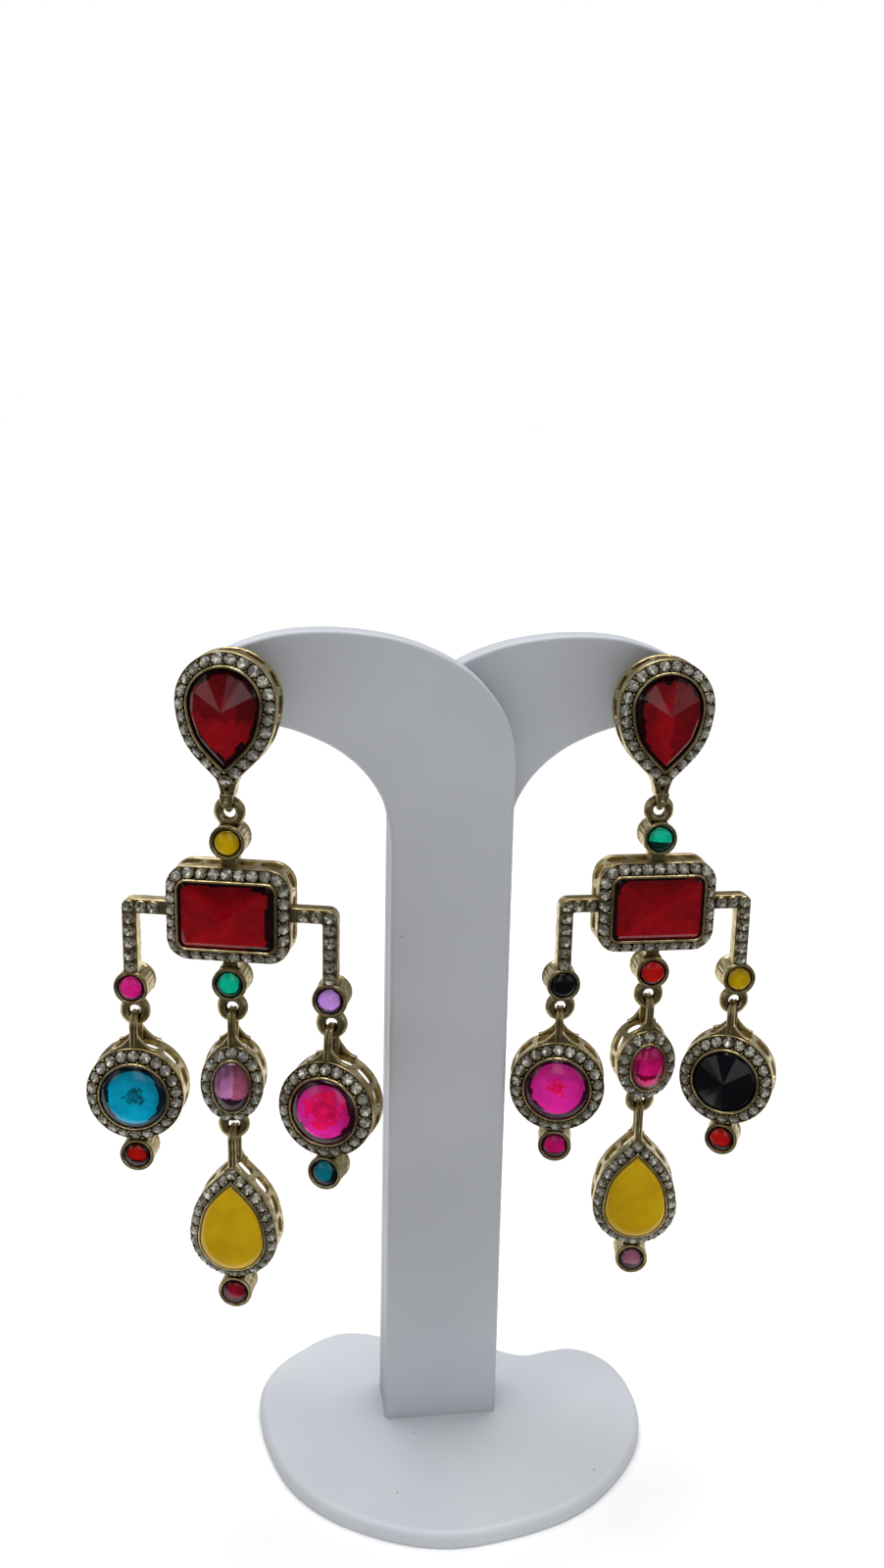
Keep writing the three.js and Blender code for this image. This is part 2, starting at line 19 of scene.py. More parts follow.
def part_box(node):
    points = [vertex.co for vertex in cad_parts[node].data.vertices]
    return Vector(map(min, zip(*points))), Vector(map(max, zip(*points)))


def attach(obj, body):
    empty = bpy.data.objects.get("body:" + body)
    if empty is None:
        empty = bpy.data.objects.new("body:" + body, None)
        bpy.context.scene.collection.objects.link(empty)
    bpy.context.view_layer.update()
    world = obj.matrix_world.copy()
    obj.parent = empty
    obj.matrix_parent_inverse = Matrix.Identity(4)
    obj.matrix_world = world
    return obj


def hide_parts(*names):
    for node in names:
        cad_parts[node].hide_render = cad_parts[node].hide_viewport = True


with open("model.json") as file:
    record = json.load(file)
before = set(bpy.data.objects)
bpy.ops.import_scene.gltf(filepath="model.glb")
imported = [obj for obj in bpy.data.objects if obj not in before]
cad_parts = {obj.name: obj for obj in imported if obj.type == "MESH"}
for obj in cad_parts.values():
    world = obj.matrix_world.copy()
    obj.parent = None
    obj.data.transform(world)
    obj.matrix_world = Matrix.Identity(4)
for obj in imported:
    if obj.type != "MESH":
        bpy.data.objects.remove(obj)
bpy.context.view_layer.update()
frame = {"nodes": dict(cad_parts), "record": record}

MM = 0.001
METRES = Matrix.Diagonal((MM, MM, MM, 1))
TURN = 2 * math.pi
chance = random.Random(11)

# ---- Sizes in millimetres ----

# each stone's window: width, height, and the width of the paved slope round it
WINDOWS = {
    "stud": (9.85, 13.85, 2.0),
    "rect": (13.4, 9.55, 1.95),
    "round": (9.55, 9.55, 2.2),
    "oval": (5.1, 7.45, 1.9),
    "pear": (9.3, 13.6, 1.75),
}
# how far each setting reaches above and below its middle
REACH = {kind: h / 2 + halo for kind, (_, h, halo) in WINDOWS.items()}
RECT_CORNER = 1.2
STONE_BACK = 1.2  # depth of a big stone's flat back in its solid
CUP_STONE_BACK = 2.0
STONE_PLAY = 0.02  # between a stone and its bezel
GIRDLE = 0.28  # depth of a big stone's widest line
CUP_GIRDLE = 1.2
CUP_STONE_WIDTH = 3.7
CUP_RADIUS = 2.1
EYE = {"radius": 1.5, "wire": 0.73, "from_cup": 3.9, "depth": 2.9, "under_oval": 6.85}
LOOP = {"radius": 1.45, "wire": 0.45, "z": -11.2, "depth": 2.5}
EAR_POST = {"from": 4.6, "to": 17.4, "radius": 0.45, "tip": 0.2, "above": 2.7}
# how far a hanging setting's middle is below the bar that its bail goes over, and how far
# the bail's shoulders spread along its rim
BELOW_BAR = {"round": 10.4, "oval": 9.15, "pear": 13.25}
SHOULDERS = {"round": 3.0, "oval": 2.2, "pear": 1.3}
SHOULDER = {"rise": 2.7, "fronts": (1.2, 4.75), "thick": 0.75, "edge": 0.15}
BAIL = {"wire": 0.45, "half": 1.6, "lift": 1.25, "in_rim": 0.55, "apart": 0.27, "slim": 0.72}
BRIDGE = {"flare": 0.35, "front": 1.75, "back": 4.85, "edge": 0.18}
LIP = 0.36  # width of the bezel, and of the plain rim outside the paving
SLOPE = math.radians(30)
RHINESTONE = 0.85  # radius
PITCH = 1.74  # from one rhinestone to the next
STONE_ROOM = 1.74  # width of slope that a rhinestone needs, in its radii
SEAT = {"depth": 0.55, "foot": 1.25}
BEAD = {"radius": 0.17, "depth": 0.4, "inside": 0.55}
ARM = {"half": 1.05, "front": 1.0, "back": 3.3, "z": 0.4, "bend": 1.4}
GALLERY = {"front": 2.0, "back": 4.85, "wall": 0.6, "pitch": 3.7, "bar": 0.75, "tall": 0.66,
           "steps": 24}
RIB = 0.07  # height of the ribs down a cup's side
WIRE_SIDES = 10

# the right side of a stud's neck, the slot in it, and the right side of the tongue before
# it, all from the middle of the stud's loop
NECK = [(2.3, 3.9), (1.65, 3.1), (1.25, 2.2), (1.0, 1.3), (0.95, 0.8), (0.8, 0.35)]
NECK_SLOT = [(0.24, 1.9), (-0.24, 1.9), (-0.24, 0.8), (0.24, 0.8)]
TONGUE = [(0.95, 0.9), (0.9, 0.3), (0.82, -0.3), (0.62, -0.75), (0.3, -1.0)]
# their front, their back and the rounding of their edges
NECK_DEPTHS = (1.2, 3.6, 0.15)
TONGUE_DEPTHS = (0.7, 1.3, 0.15)

# profiles swept round a line: how far out from it, and the depth
CUP_PROFILE = [
    (-0.35, 2.3), (-0.28, 1.35), (-0.22, 1.15), (-0.05, 0.98), (0.12, 0.9), (0.26, 0.93),
    (0.36, 1.08), (0.37, 1.5), (0.32, 1.62), (0.24, 1.8), (0.24, 2.0), (0.24, 4.3),
    (0.24, 4.45), (0.36, 4.6), (0.37, 5.0), (0.28, 5.2),
]
BEZEL_PROFILE = [
    (-0.03, 2.45), (-0.03, 0.35), (-0.1, 0.12), (-0.1, -0.06), (-0.03, -0.14), (0.12, -0.14),
    (0.24, -0.06), (0.32, 0.12), (LIP, 0.5), (0.58, 0.74),
]
RIM_PROFILE = [(-LIP, 1.15), (-0.2, 0.95), (-0.1, 0.93), (-0.03, 1.05), (-0.05, 2.1), (-0.5, 2.25)]
RING_PROFILE = [(-0.9, 5.5), (-1.0, 5.3), (-1.0, 4.9), (-0.9, 4.7), (-0.12, 4.7), (0.0, 4.85),
                (0.0, 5.35), (-0.12, 5.5)]
LID_PROFILE = [(-0.6, 4.2), (-0.12, 4.2), (0.0, 4.32), (0.0, 4.78), (-0.12, 4.9), (-1.0, 4.9)]
CLUTCH_PROFILE = [(0.8, -1.65), (2.3, -1.65), (2.55, -1.4), (2.55, -0.9), (2.2, -0.5), (2.1, 0.0),
                  (2.2, 0.5), (2.55, 0.9), (2.55, 1.4), (2.3, 1.65), (0.8, 1.65)]


# ---- Colours and materials ----


def linear(code):
    """A #rrggbb colour as linear light, with full opacity."""
    parts = [int(code[i : i + 2], 16) / 255 for i in (1, 3, 5)]
    light = [p / 12.92 if p <= 0.04045 else ((p + 0.055) / 1.055) ** 2.4 for p in parts]
    return (*light, 1.0)


def node(tree, kind, inputs=None, ramp=None, **settings):
    """Adds a node, sets its settings, and links or sets each input by name or number."""
    made = tree.nodes.new("ShaderNode" + kind)
    for key, value in settings.items():
        setattr(made, key, value)
    for key, value in (inputs or {}).items():
        if isinstance(value, bpy.types.NodeSocket):
            tree.links.new(value, made.inputs[key])
        else:
            made.inputs[key].default_value = value
    if ramp:
        stops = made.color_ramp.elements
        while len(stops) < len(ramp):
            stops.new(0.5)
        for stop, (at, colour) in zip(stops, ramp):
            stop.position = at
            stop.color = linear(colour)
    return made


def material(name):
    """A new material, its node tree, and the place on the object that patterns follow."""
    made = bpy.data.materials.new(name)
    made.use_nodes = True
    tree = made.node_tree
    tree.nodes.clear()
    return made, tree, node(tree, "TexCoord").outputs["Object"]


def clouded(name, scale, detail, ramp, looks):
    """A material whose colour runs through a ramp in clouds."""
    made, tree, place = material(name)
    clouds = node(tree, "TexNoise", {"Vector": place, "Scale": scale, "Detail": detail})
    colour = node(tree, "ValToRGB", {"Fac": clouds.outputs["Fac"]}, ramp=ramp)
    shader = node(tree, "BsdfPrincipled", {"Base Color": colour.outputs[0], **looks})
    node(tree, "OutputMaterial", {"Surface": shader.outputs[0]})
    return made


def antique_gold():
    """Cast zinc with an antiqued brass plating: the polish wears through to pale gold on the
    high spots, and a dark brown stain stays in the recesses and between the stones."""
    made, tree, place = material("antiqued_brass_plating_on_cast_zinc")
    # patches of stain about 1.2 mm across
    patches = node(tree, "TexNoise", {"Vector": place, "Scale": 800, "Detail": 3.0})
    # the cast skin, drawn at 0.25 mm where it is really finer, so that it shows
    grain = node(tree, "TexNoise", {"Vector": place, "Scale": 4000, "Detail": 2.0})
    tone = node(tree, "ValToRGB", {"Fac": patches.outputs["Fac"]},
                ramp=[(0.3, "#94845a"), (0.5, "#b8a678"), (0.72, "#dacba0")])
    recess = node(tree, "AmbientOcclusion", {"Distance": 0.0009}, samples=6)
    depth = node(tree, "ValToRGB", {"Fac": recess.outputs["AO"]},
                 ramp=[(0.2, "#574e3c"), (0.5, "#aaa391"), (0.8, "#ffffff")])
    colour = node(tree, "MixRGB", {"Fac": 1.0, "Color1": tone.outputs[0],
                                   "Color2": depth.outputs[0]}, blend_type="MULTIPLY")
    rough = node(tree, "MapRange", {"Value": patches.outputs["Fac"], "From Min": 0.3,
                                    "From Max": 0.7, "To Min": 0.42, "To Max": 0.24})
    bump = node(tree, "Bump", {"Height": grain.outputs["Fac"], "Strength": 0.5,
                               "Distance": 0.00006})
    shader = node(tree, "BsdfPrincipled", {"Base Color": colour.outputs[0], "Metallic": 1.0,
                                           "Roughness": rough.outputs[0],
                                           "Normal": bump.outputs[0]})
    node(tree, "OutputMaterial", {"Surface": shader.outputs[0]})
    return made


def white_moulding():
    """Moulded white acrylic: an even cool white with a satin skin, faint clouding and a few
    specks of dust."""
    made, tree, place = material("satin_moulded_white_acrylic")
    # clouds about 30 mm across
    clouds = node(tree, "TexNoise", {"Vector": place, "Scale": 33, "Detail": 2.0})
    white = node(tree, "ValToRGB", {"Fac": clouds.outputs["Fac"]},
                 ramp=[(0.35, "#bcbfc6"), (0.65, "#c4c7cd")])
    # dust specks about 0.3 mm across, one to a few square centimetres
    dust = node(tree, "TexVoronoi", {"Vector": place, "Scale": 130, "Randomness": 1.0})
    spot = node(tree, "ValToRGB", {"Fac": dust.outputs["Distance"]},
                ramp=[(0.015, "#a4a2a0"), (0.026, "#ffffff")])
    colour = node(tree, "MixRGB", {"Fac": 1.0, "Color1": white.outputs[0],
                                   "Color2": spot.outputs[0]}, blend_type="MULTIPLY")
    # the mould's slight ripple, 8 mm from crest to crest
    ripple = node(tree, "TexNoise", {"Vector": place, "Scale": 120, "Detail": 1.0})
    bump = node(tree, "Bump", {"Height": ripple.outputs["Fac"], "Strength": 0.15,
                               "Distance": 0.0001})
    shader = node(tree, "BsdfPrincipled", {"Base Color": colour.outputs[0], "Roughness": 0.5,
                                           "IOR": 1.49, "Normal": bump.outputs[0]})
    node(tree, "OutputMaterial", {"Surface": shader.outputs[0]})
    return made


def cut_glass(name, deep, pale):
    """Pressed glass, clear and polished, with faint swirls about 2 mm across: light goes in
    through it, takes its colour, and comes back from the foil behind."""
    return clouded("pressed_glass_" + name, 500, 1.0, [(0.35, deep), (0.7, pale)],
                   {"Roughness": 0.02, "IOR": 1.52, "Transmission Weight": 1.0})


def foil(name, bright, dull, roughness, mirror):
    """Vacuum-coated foil on a stone's back, part mirror and part chalky lacquer, dulled in
    patches about 1 mm across where it has aged."""
    return clouded("vacuum_coated_foil_" + name, 1000, 2.0, [(0.35, dull), (0.6, bright)],
                   {"Metallic": mirror, "Roughness": roughness})


def cabochon_resin(name, deep, pale):
    """Cast opaque resin, domed and polished: an even colour that deepens a little in clouds
    about 4 mm across, under a wet gloss."""
    return clouded("polished_resin_" + name, 250, 2.0, [(0.35, deep), (0.65, pale)],
                   {"Roughness": 0.1, "IOR": 1.5})


# ---- Shapes ----


class Shape:
    """Faces gathered for one piece, in millimetres, each with its finish's number."""

    def __init__(self):
        self.points = []
        self.faces = []
        self.finishes = []
        self.flats = []

    def add(self, points, faces, finish=0, flat=False, axes=None):
        """Adds faces of one finish, or with a list of finishes, one for each face."""
        start = len(self.points)
        spots = [Vector(p) for p in points]
        self.points.extend(axes @ p if axes else p for p in spots)
        self.faces.extend([start + i for i in face] for face in faces)
        self.finishes.extend(finish if isinstance(finish, list) else [finish] * len(faces))
        self.flats.extend([flat] * len(faces))


SHARP = math.radians(38)
MERGE = 2e-7  # metres


def linked(name, data):
    """A new object of the scene, made of this data."""
    made = bpy.data.objects.new(name, data)
    bpy.context.scene.collection.objects.link(made)
    return made


def piece(name, shape, axes, finishes, body, stands_for=()):
    """Makes the object: its points go from the setting's axes to the model's, in metres."""
    mesh = bpy.data.meshes.new(name)
    mesh.from_pydata([axes @ p for p in shape.points], [], shape.faces)
    mesh.polygons.foreach_set("material_index", shape.finishes)
    mesh.polygons.foreach_set("use_smooth", [not flat for flat in shape.flats])
    work = bmesh.new()
    work.from_mesh(mesh)
    bmesh.ops.remove_doubles(work, verts=work.verts, dist=MERGE)
    bmesh.ops.recalc_face_normals(work, faces=work.faces)
    work.to_mesh(mesh)
    work.free()
    smooth = [face.use_smooth for face in mesh.polygons]
    mesh.set_sharp_from_angle(angle=SHARP)
    mesh.polygons.foreach_set("use_smooth", smooth)
    for finish in finishes:
        mesh.materials.append(finish)
    made = linked(name, mesh)
    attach(made, body)
    if stands_for:
        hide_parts(*stands_for)


def run_of(line):
    """A closed line with its start again at its end, and the way gone at each point."""
    closed = np.vstack([line, line[:1]])
    return closed, np.concatenate([[0], np.cumsum(np.hypot(*np.diff(closed, axis=0).T))])


def ways_out(line):
    """The way out at each point of a closed line, whichever way round it runs."""
    along = np.roll(line, -1, 0) - np.roll(line, 1, 0)
    out = np.stack([along[:, 1], -along[:, 0]], 1) / np.linalg.norm(along, axis=1)[:, None]
    x, z = line.T
    area = np.sum(x * np.roll(z, -1) - z * np.roll(x, -1))
    return out if area > 0 else -out


class Outline:
    """A closed line in x and z that starts at its top or tip, with the way out at each point."""

    def __init__(self, points, normals):
        self.points = np.array(points, float)
        self.normals = np.array(normals, float)

    def grown(self, by):
        return self.points + self.normals * by

    def ring(self, by, depth):
        return [(x, depth, z) for x, z in self.grown(by)]

    def spots(self, by, count, shift=0.0):
        """Evenly spaced places along the line grown by so much, each with its way out."""
        closed, run = run_of(self.grown(by))
        ways = np.vstack([self.normals, self.normals[:1]])
        at = (np.arange(count) + shift) % count * run[-1] / count
        x, z, nx, nz = (np.interp(at, run, v) for v in (*closed.T, *ways.T))
        size = np.hypot(nx, nz)
        return list(zip(x, z, nx / size, nz / size))

    def length(self, by):
        return run_of(self.grown(by))[1][-1]


def heading(a):
    """The way that lies so many radians clockwise from straight up."""
    return np.array([math.sin(a), math.cos(a)])


def ellipse(w, h, count=72):
    a = TURN * np.arange(count) / count
    out = np.stack([np.sin(a) / w, np.cos(a) / h], 1)
    out /= np.linalg.norm(out, axis=1)[:, None]
    return Outline(np.stack([np.sin(a) * w / 2, np.cos(a) * h / 2], 1), out)


def cushion(w, h, corner, arc=9, side=8):
    """A rectangle with round corners, from the middle of its top edge."""
    points, normals = [], []
    x, z = w / 2 - corner, h / 2 - corner
    quarters = np.array([(x, z), (x, -z), (-x, -z), (-x, z)])
    for number, middle in enumerate(quarters):
        for i in range(arc):
            normals.append(heading(math.radians(90 * number + 90 * i / (arc - 1))))
            points.append(middle + corner * normals[-1])
        begin, end = points[-1], quarters[(number + 1) % 4] + corner * normals[-1]
        for i in range(1, side):
            points.append(begin + (end - begin) * (i / side))
            normals.append(normals[-1])
    start = -(side // 2)  # the middle of the top edge
    return Outline(points[start:] + points[:start], normals[start:] + normals[:start])


# how a pear's flanks run: where they leave the round end and the point's half angle, in
# degrees, and how far each of the two steers the flank
FLANK = {"leave": 83, "tip": 45, "near": 0.5, "far": 0.45}


def pear(w, h, up):
    """A pear from its point, which looks up (1) or down (-1)."""
    r = w / 2
    tip = np.array([0.0, h - r])
    leave, tip_angle = math.radians(FLANK["leave"]), math.radians(FLANK["tip"])
    end = r * heading(leave)
    reach = np.linalg.norm(end - tip)
    first = tip + FLANK["near"] * reach * heading(tip_angle + TURN / 4)
    second = end - FLANK["far"] * reach * heading(leave + TURN / 4)
    points, normals = [], []
    for a in np.linspace(0, tip_angle, 5)[:-1]:
        points.append(tip)
        normals.append((1 + 0.25 * (1 - a / tip_angle)) * heading(a))
    for t in np.linspace(0, 1, 16)[:-1]:
        u = 1 - t
        points.append(u**3 * tip + 3 * u * u * t * first + 3 * u * t * t * second + t**3 * end)
        along = u * u * (first - tip) + 2 * u * t * (second - first) + t * t * (end - second)
        normals.append(np.array([-along[1], along[0]]) / np.linalg.norm(along))
    for a in np.linspace(leave, math.pi, 20):
        points.append(r * heading(a))
        normals.append(heading(a))

    def whole(half):
        """Both sides of the pear, from its right side."""
        return np.vstack([half, np.array(half[-2:0:-1]) * (-1, 1)])

    middle = (0, (h - 2 * r) / 2)
    return Outline((whole(points) - middle) * up, whole(normals) * up)


OUTLINES = {
    "stud": pear(*WINDOWS["stud"][:2], -1),
    "rect": cushion(*WINDOWS["rect"][:2], RECT_CORNER),
    "round": ellipse(*WINDOWS["round"][:2]),
    "oval": ellipse(*WINDOWS["oval"][:2], 60),
    "pear": pear(*WINDOWS["pear"][:2], 1),
}
CUP = ellipse(2 * CUP_RADIUS, 2 * CUP_RADIUS, 88)
CUP_STONE = ellipse(CUP_STONE_WIDTH, CUP_STONE_WIDTH, 36)


def bands(count, rings, again=False):
    """The faces between rings of so many points; with again, the last ring joins the first."""
    faces = []
    for s in range(rings if again else rings - 1):
        a, b = s * count, (s + 1) % rings * count
        faces += [(a + i, a + (i + 1) % count, b + (i + 1) % count, b + i) for i in range(count)]
    return faces


def skin(shape, rings, ends=True, again=False, axes=None):
    """Skins rings of points in turn. With ends, a flat face closes each end; with again, the
    last ring joins the first."""
    count = len(rings[0])
    faces = bands(count, len(rings), again)
    if ends and not again:
        faces += [range(count), range((len(rings) - 1) * count, len(rings) * count)]
    shape.add([p for ring in rings for p in ring], faces, axes=axes)


def slab(shape, line, front, back, edge, holes=(), axes=None, steps=4, under=None):
    """A flat shape cut along a closed line in x and z, thick from front to back, with its
    edges rounded, the back one by its own radius if under is given. Holes are closed lines
    with square edges."""
    line = np.array(line, float)
    out = ways_out(line)
    under = edge if under is None else under
    inside = max(edge, under) * 1.4

    def rounding(r):
        turns = [math.pi / 2 * i / steps for i in range(steps + 1)]
        return [(-inside, 0)] + [(r * (math.sin(a) - 1), r * (1 - math.cos(a))) for a in turns]

    stages = [(by, front + d) for by, d in rounding(edge)]
    stages += [(by, back - d) for by, d in rounding(under)[::-1]]
    count = len(line)
    points = [(x, d, z) for by, d in stages for x, z in line + out * by]
    faces = bands(count, len(stages))
    # each cap's corners are numbered through the edge line and then the holes in turn
    fronts, backs = list(range(count)), list(range(len(points) - count, len(points)))
    for hole in holes:
        start, n = len(points), len(hole)
        points += [(x, depth, z) for depth in (front, back) for x, z in hole]
        fronts += range(start, start + n)
        backs += range(start + n, start + 2 * n)
        faces += [[start + i for i in face] for face in bands(n, 2)]
    rims = [[Vector((x, 0, z)) for x, z in rim] for rim in (line - out * inside, *holes)]
    for corners in tessellate_polygon(rims):
        faces += [[cap[i] for i in corners] for cap in (fronts, backs)]
    shape.add(points, faces, axes=axes)


def both_sides(right, middle=0):
    """A closed line from its right side, mirrored about the middle."""
    return right + [(2 * middle - x, z) for x, z in reversed(right)]


def wire(shape, path, thick, across, closed=False):
    """A round wire along a flat path; across is the way square to the path's plane, and
    thick its radius at each point."""
    path = [Vector(p) for p in path]
    across = Vector(across)
    count = len(path)
    rings = []
    for i, (p, r) in enumerate(zip(path, thick)):
        before = path[i - 1] if closed or i else p
        after = path[(i + 1) % count] if closed or i + 1 < count else p
        aside = (after - before).normalized().cross(across)
        rings.append([p + r * (math.cos(a) * aside + math.sin(a) * across)
                      for a in (TURN * k / WIRE_SIDES for k in range(WIRE_SIDES))])
    skin(shape, rings, ends=not closed, again=closed)


def hoop(shape, centre, radius, thick, edge_on=False, steps=28):
    """A closed wire ring that faces front, or is seen edge-on."""
    x, y, z = centre
    path = []
    for side, rise in (radius * heading(TURN * i / steps) for i in range(steps)):
        path.append((x, y + side, z + rise) if edge_on else (x + side, y, z + rise))
    wire(shape, path, [thick] * steps, (1, 0, 0) if edge_on else (0, 1, 0), closed=True)


# ---- The settings ----


def basis(x, y, z):
    """The turn from the model's axes to these three."""
    return Matrix((x, y, z)).transposed().to_4x4()


def stone_seats(spots, depth, tilt):
    """Axes for each rhinestone: z out of the metal, x along the row, y down the slope."""
    seats = []
    for x, z, nx, nz in spots:
        row = (-nz, 0, nx)
        down = (nx * math.cos(tilt), math.sin(tilt), nz * math.cos(tilt))
        face = (nx * math.sin(tilt), -math.cos(tilt), nz * math.sin(tilt))
        seats.append(Matrix.Translation((x, depth, z)) @ basis(row, down, face))
    return seats


def round_ring(radius, height, count, turn=0.0):
    turns = [turn + TURN * i / count for i in range(count)]
    return [(radius * math.cos(a), radius * math.sin(a), height) for a in turns]


def collar(shape, seat, radius, foot):
    """The little cup of metal round one rhinestone."""
    profile = [(0.94, -0.34), (0.96, 0.02), (1.01, 0.08), (1.06, 0.02), (1.09, -0.15),
               (1.09, -foot)]
    skin(shape, [round_ring(radius * r, h, 14) for r, h in profile], axes=seat)


def bead(shape, seat, radius):
    """A grain of metal pushed up against the stones."""
    stages = [(0.5, 0.87), (0.87, 0.5), (1.0, 0.0), (0.8, -0.9)]
    skin(shape, [round_ring(radius * r, radius * h, 7) for r, h in stages], axes=seat)


def rhinestone(shape, seat, radius):
    """A small brilliant-cut stone: glass facets (finish 0) over a point whose foil is bright,
    dulled or worn off facet by facet (finishes 1 to 3)."""
    lean = Matrix.Rotation(math.radians(chance.uniform(-9, 9)), 4, "X")
    spin = Matrix.Rotation(chance.uniform(0, TURN), 4, "Z")
    aside = Matrix.Rotation(math.radians(chance.uniform(-9, 9)), 4, "Y")
    points = round_ring(0.52 * radius, 0.36 * radius, 8)
    points += round_ring(0.8 * radius, 0.2 * radius, 8, TURN / 16)
    points += round_ring(radius, 0.0, 16)
    crown, back = [range(8)], []
    for i in range(8):
        one, two, three = 16 + 2 * i, 17 + 2 * i, 16 + (2 * i + 2) % 16
        crown += [(i, (i + 1) % 8, 8 + i), (i, 8 + i, one, 8 + (i - 1) % 8)]
        crown += [(8 + i, one, two), (8 + i, two, three)]
        back += [(one, two, 32), (two, three, 32)]
    away, turn = chance.uniform(0.12, 0.32) * radius, chance.uniform(0, TURN)
    points.append((away * math.cos(turn), away * math.sin(turn), -0.3 * radius))
    finishes = [0] * len(crown) + [chance.choice((1, 2, 2, 3)) for _ in back]
    shape.add(points, crown + back, finishes, True, seat @ lean @ aside @ spin)


def paving(metal, stones, outline, halo):
    """One row of rhinestones on the slope round a window, each in its collar, and a row of
    beads on either side."""
    middle = (halo + LIP) / 2 - 0.05
    length = outline.length(middle)
    radius = min(RHINESTONE, (halo - LIP) / STONE_ROOM)
    count = round(length / (PITCH * radius / RHINESTONE))
    radius = min(radius, 0.97 * length / count / 2)
    for seat in stone_seats(outline.spots(middle, count), SEAT["depth"], SLOPE):
        collar(metal, seat, radius, SEAT["foot"])
        rhinestone(stones, seat, radius)
    for aside in (BEAD["inside"], halo - LIP):
        depth = BEAD["depth"] + (aside - middle) * math.tan(SLOPE)
        for seat in stone_seats(outline.spots(aside, count, 0.5), depth, SLOPE):
            bead(metal, seat, BEAD["radius"])


def gallery(metal, outline, halo):
    """The pierced wall behind the slope: round-ended windows between upright bars."""
    out = halo - 0.05
    outer, run = run_of(outline.grown(out))
    inner, _ = run_of(outline.grown(out - GALLERY["wall"]))
    count = max(6, round(run[-1] / GALLERY["pitch"]))
    cell = run[-1] / count
    wide = (cell - GALLERY["bar"]) / cell
    front, back, steps = GALLERY["front"], GALLERY["back"], GALLERY["steps"]

    def at(s, depth, line):
        x, z = (np.interp(s % run[-1], run, v) for v in line.T)
        return (x, depth, z)

    for middle in ((k + 0.5) * cell for k in range(count)):
        points, faces = [], []
        for i in range(steps):
            a = TURN * (i + 0.5) / steps
            c, s = math.cos(a), math.sin(a)
            grow = 1 / max(abs(c), abs(s))
            # a round-ended slot inside the cell's own rectangle
            slot = (math.copysign(abs(c) ** 0.55, c) * wide,
                    math.copysign(abs(s) ** 0.75, s) * GALLERY["tall"])
            for u, v in ((c * grow, s * grow), slot):
                depth = (front + back) / 2 + v * (back - front) / 2
                points += [at(middle + u * cell / 2, depth, line) for line in (outer, inner)]
            # corners of one step: edge outside and inside, then slot outside and inside
            a, b = 4 * i, 4 * ((i + 1) % steps)
            faces += [(a, b, b + 2, a + 2), (a + 1, b + 1, b + 3, a + 3),
                      (a + 2, b + 2, b + 3, a + 3)]
            # the cell is closed above and below, and open to its neighbours
            if abs(math.sin(TURN * (i + 1) / steps)) > math.sqrt(0.5) - 1e-6:
                faces.append((a, b, b + 1, a + 1))
        metal.add(points, faces)


def setting(metal, stones, kind):
    """The bezel, the slope that carries the stones, the pierced wall, and behind it an open
    ring, or a stud's closed back."""
    outline, halo = OUTLINES[kind], WINDOWS[kind][2]
    dish = BEZEL_PROFILE + [(halo + by, depth) for by, depth in RIM_PROFILE] + [(0.4, 2.7)]
    skin(metal, [outline.ring(by, depth) for by, depth in dish])
    gallery(metal, outline, halo)
    closed = kind == "stud"
    behind = LID_PROFILE if closed else RING_PROFILE
    skin(metal, [outline.ring(halo + by, depth) for by, depth in behind], again=not closed)
    paving(metal, stones, outline, halo)


def cup(metal, x, z):
    """A cup whose side is cut with fine upright ribs."""
    rings = []
    for by, depth in CUP_PROFILE:
        rib = RIB if 1.9 < depth < 4.4 else 0.0
        out = [[by + rib * (1, 1, -1, -1)[i % 4]] for i in range(len(CUP.points))]
        rings.append([(px, depth, pz) for px, pz in CUP.points + CUP.normals * out])
    skin(metal, rings, axes=Matrix.Translation((x, 0, z)))


def eye(metal, x, z):
    hoop(metal, (x, EYE["depth"], z), EYE["radius"], EYE["wire"])


def bridge(metal, x, top, bottom, half=1.0):
    """A web of metal that joins a cup to what is over or under it, waisted in the middle."""
    right = [(x + half * (1 + BRIDGE["flare"] * (2 * t - 1) ** 2), bottom + (top - bottom) * t)
             for t in (i / 5 for i in range(6))]
    slab(metal, both_sides(right, x), BRIDGE["front"], BRIDGE["back"], BRIDGE["edge"])


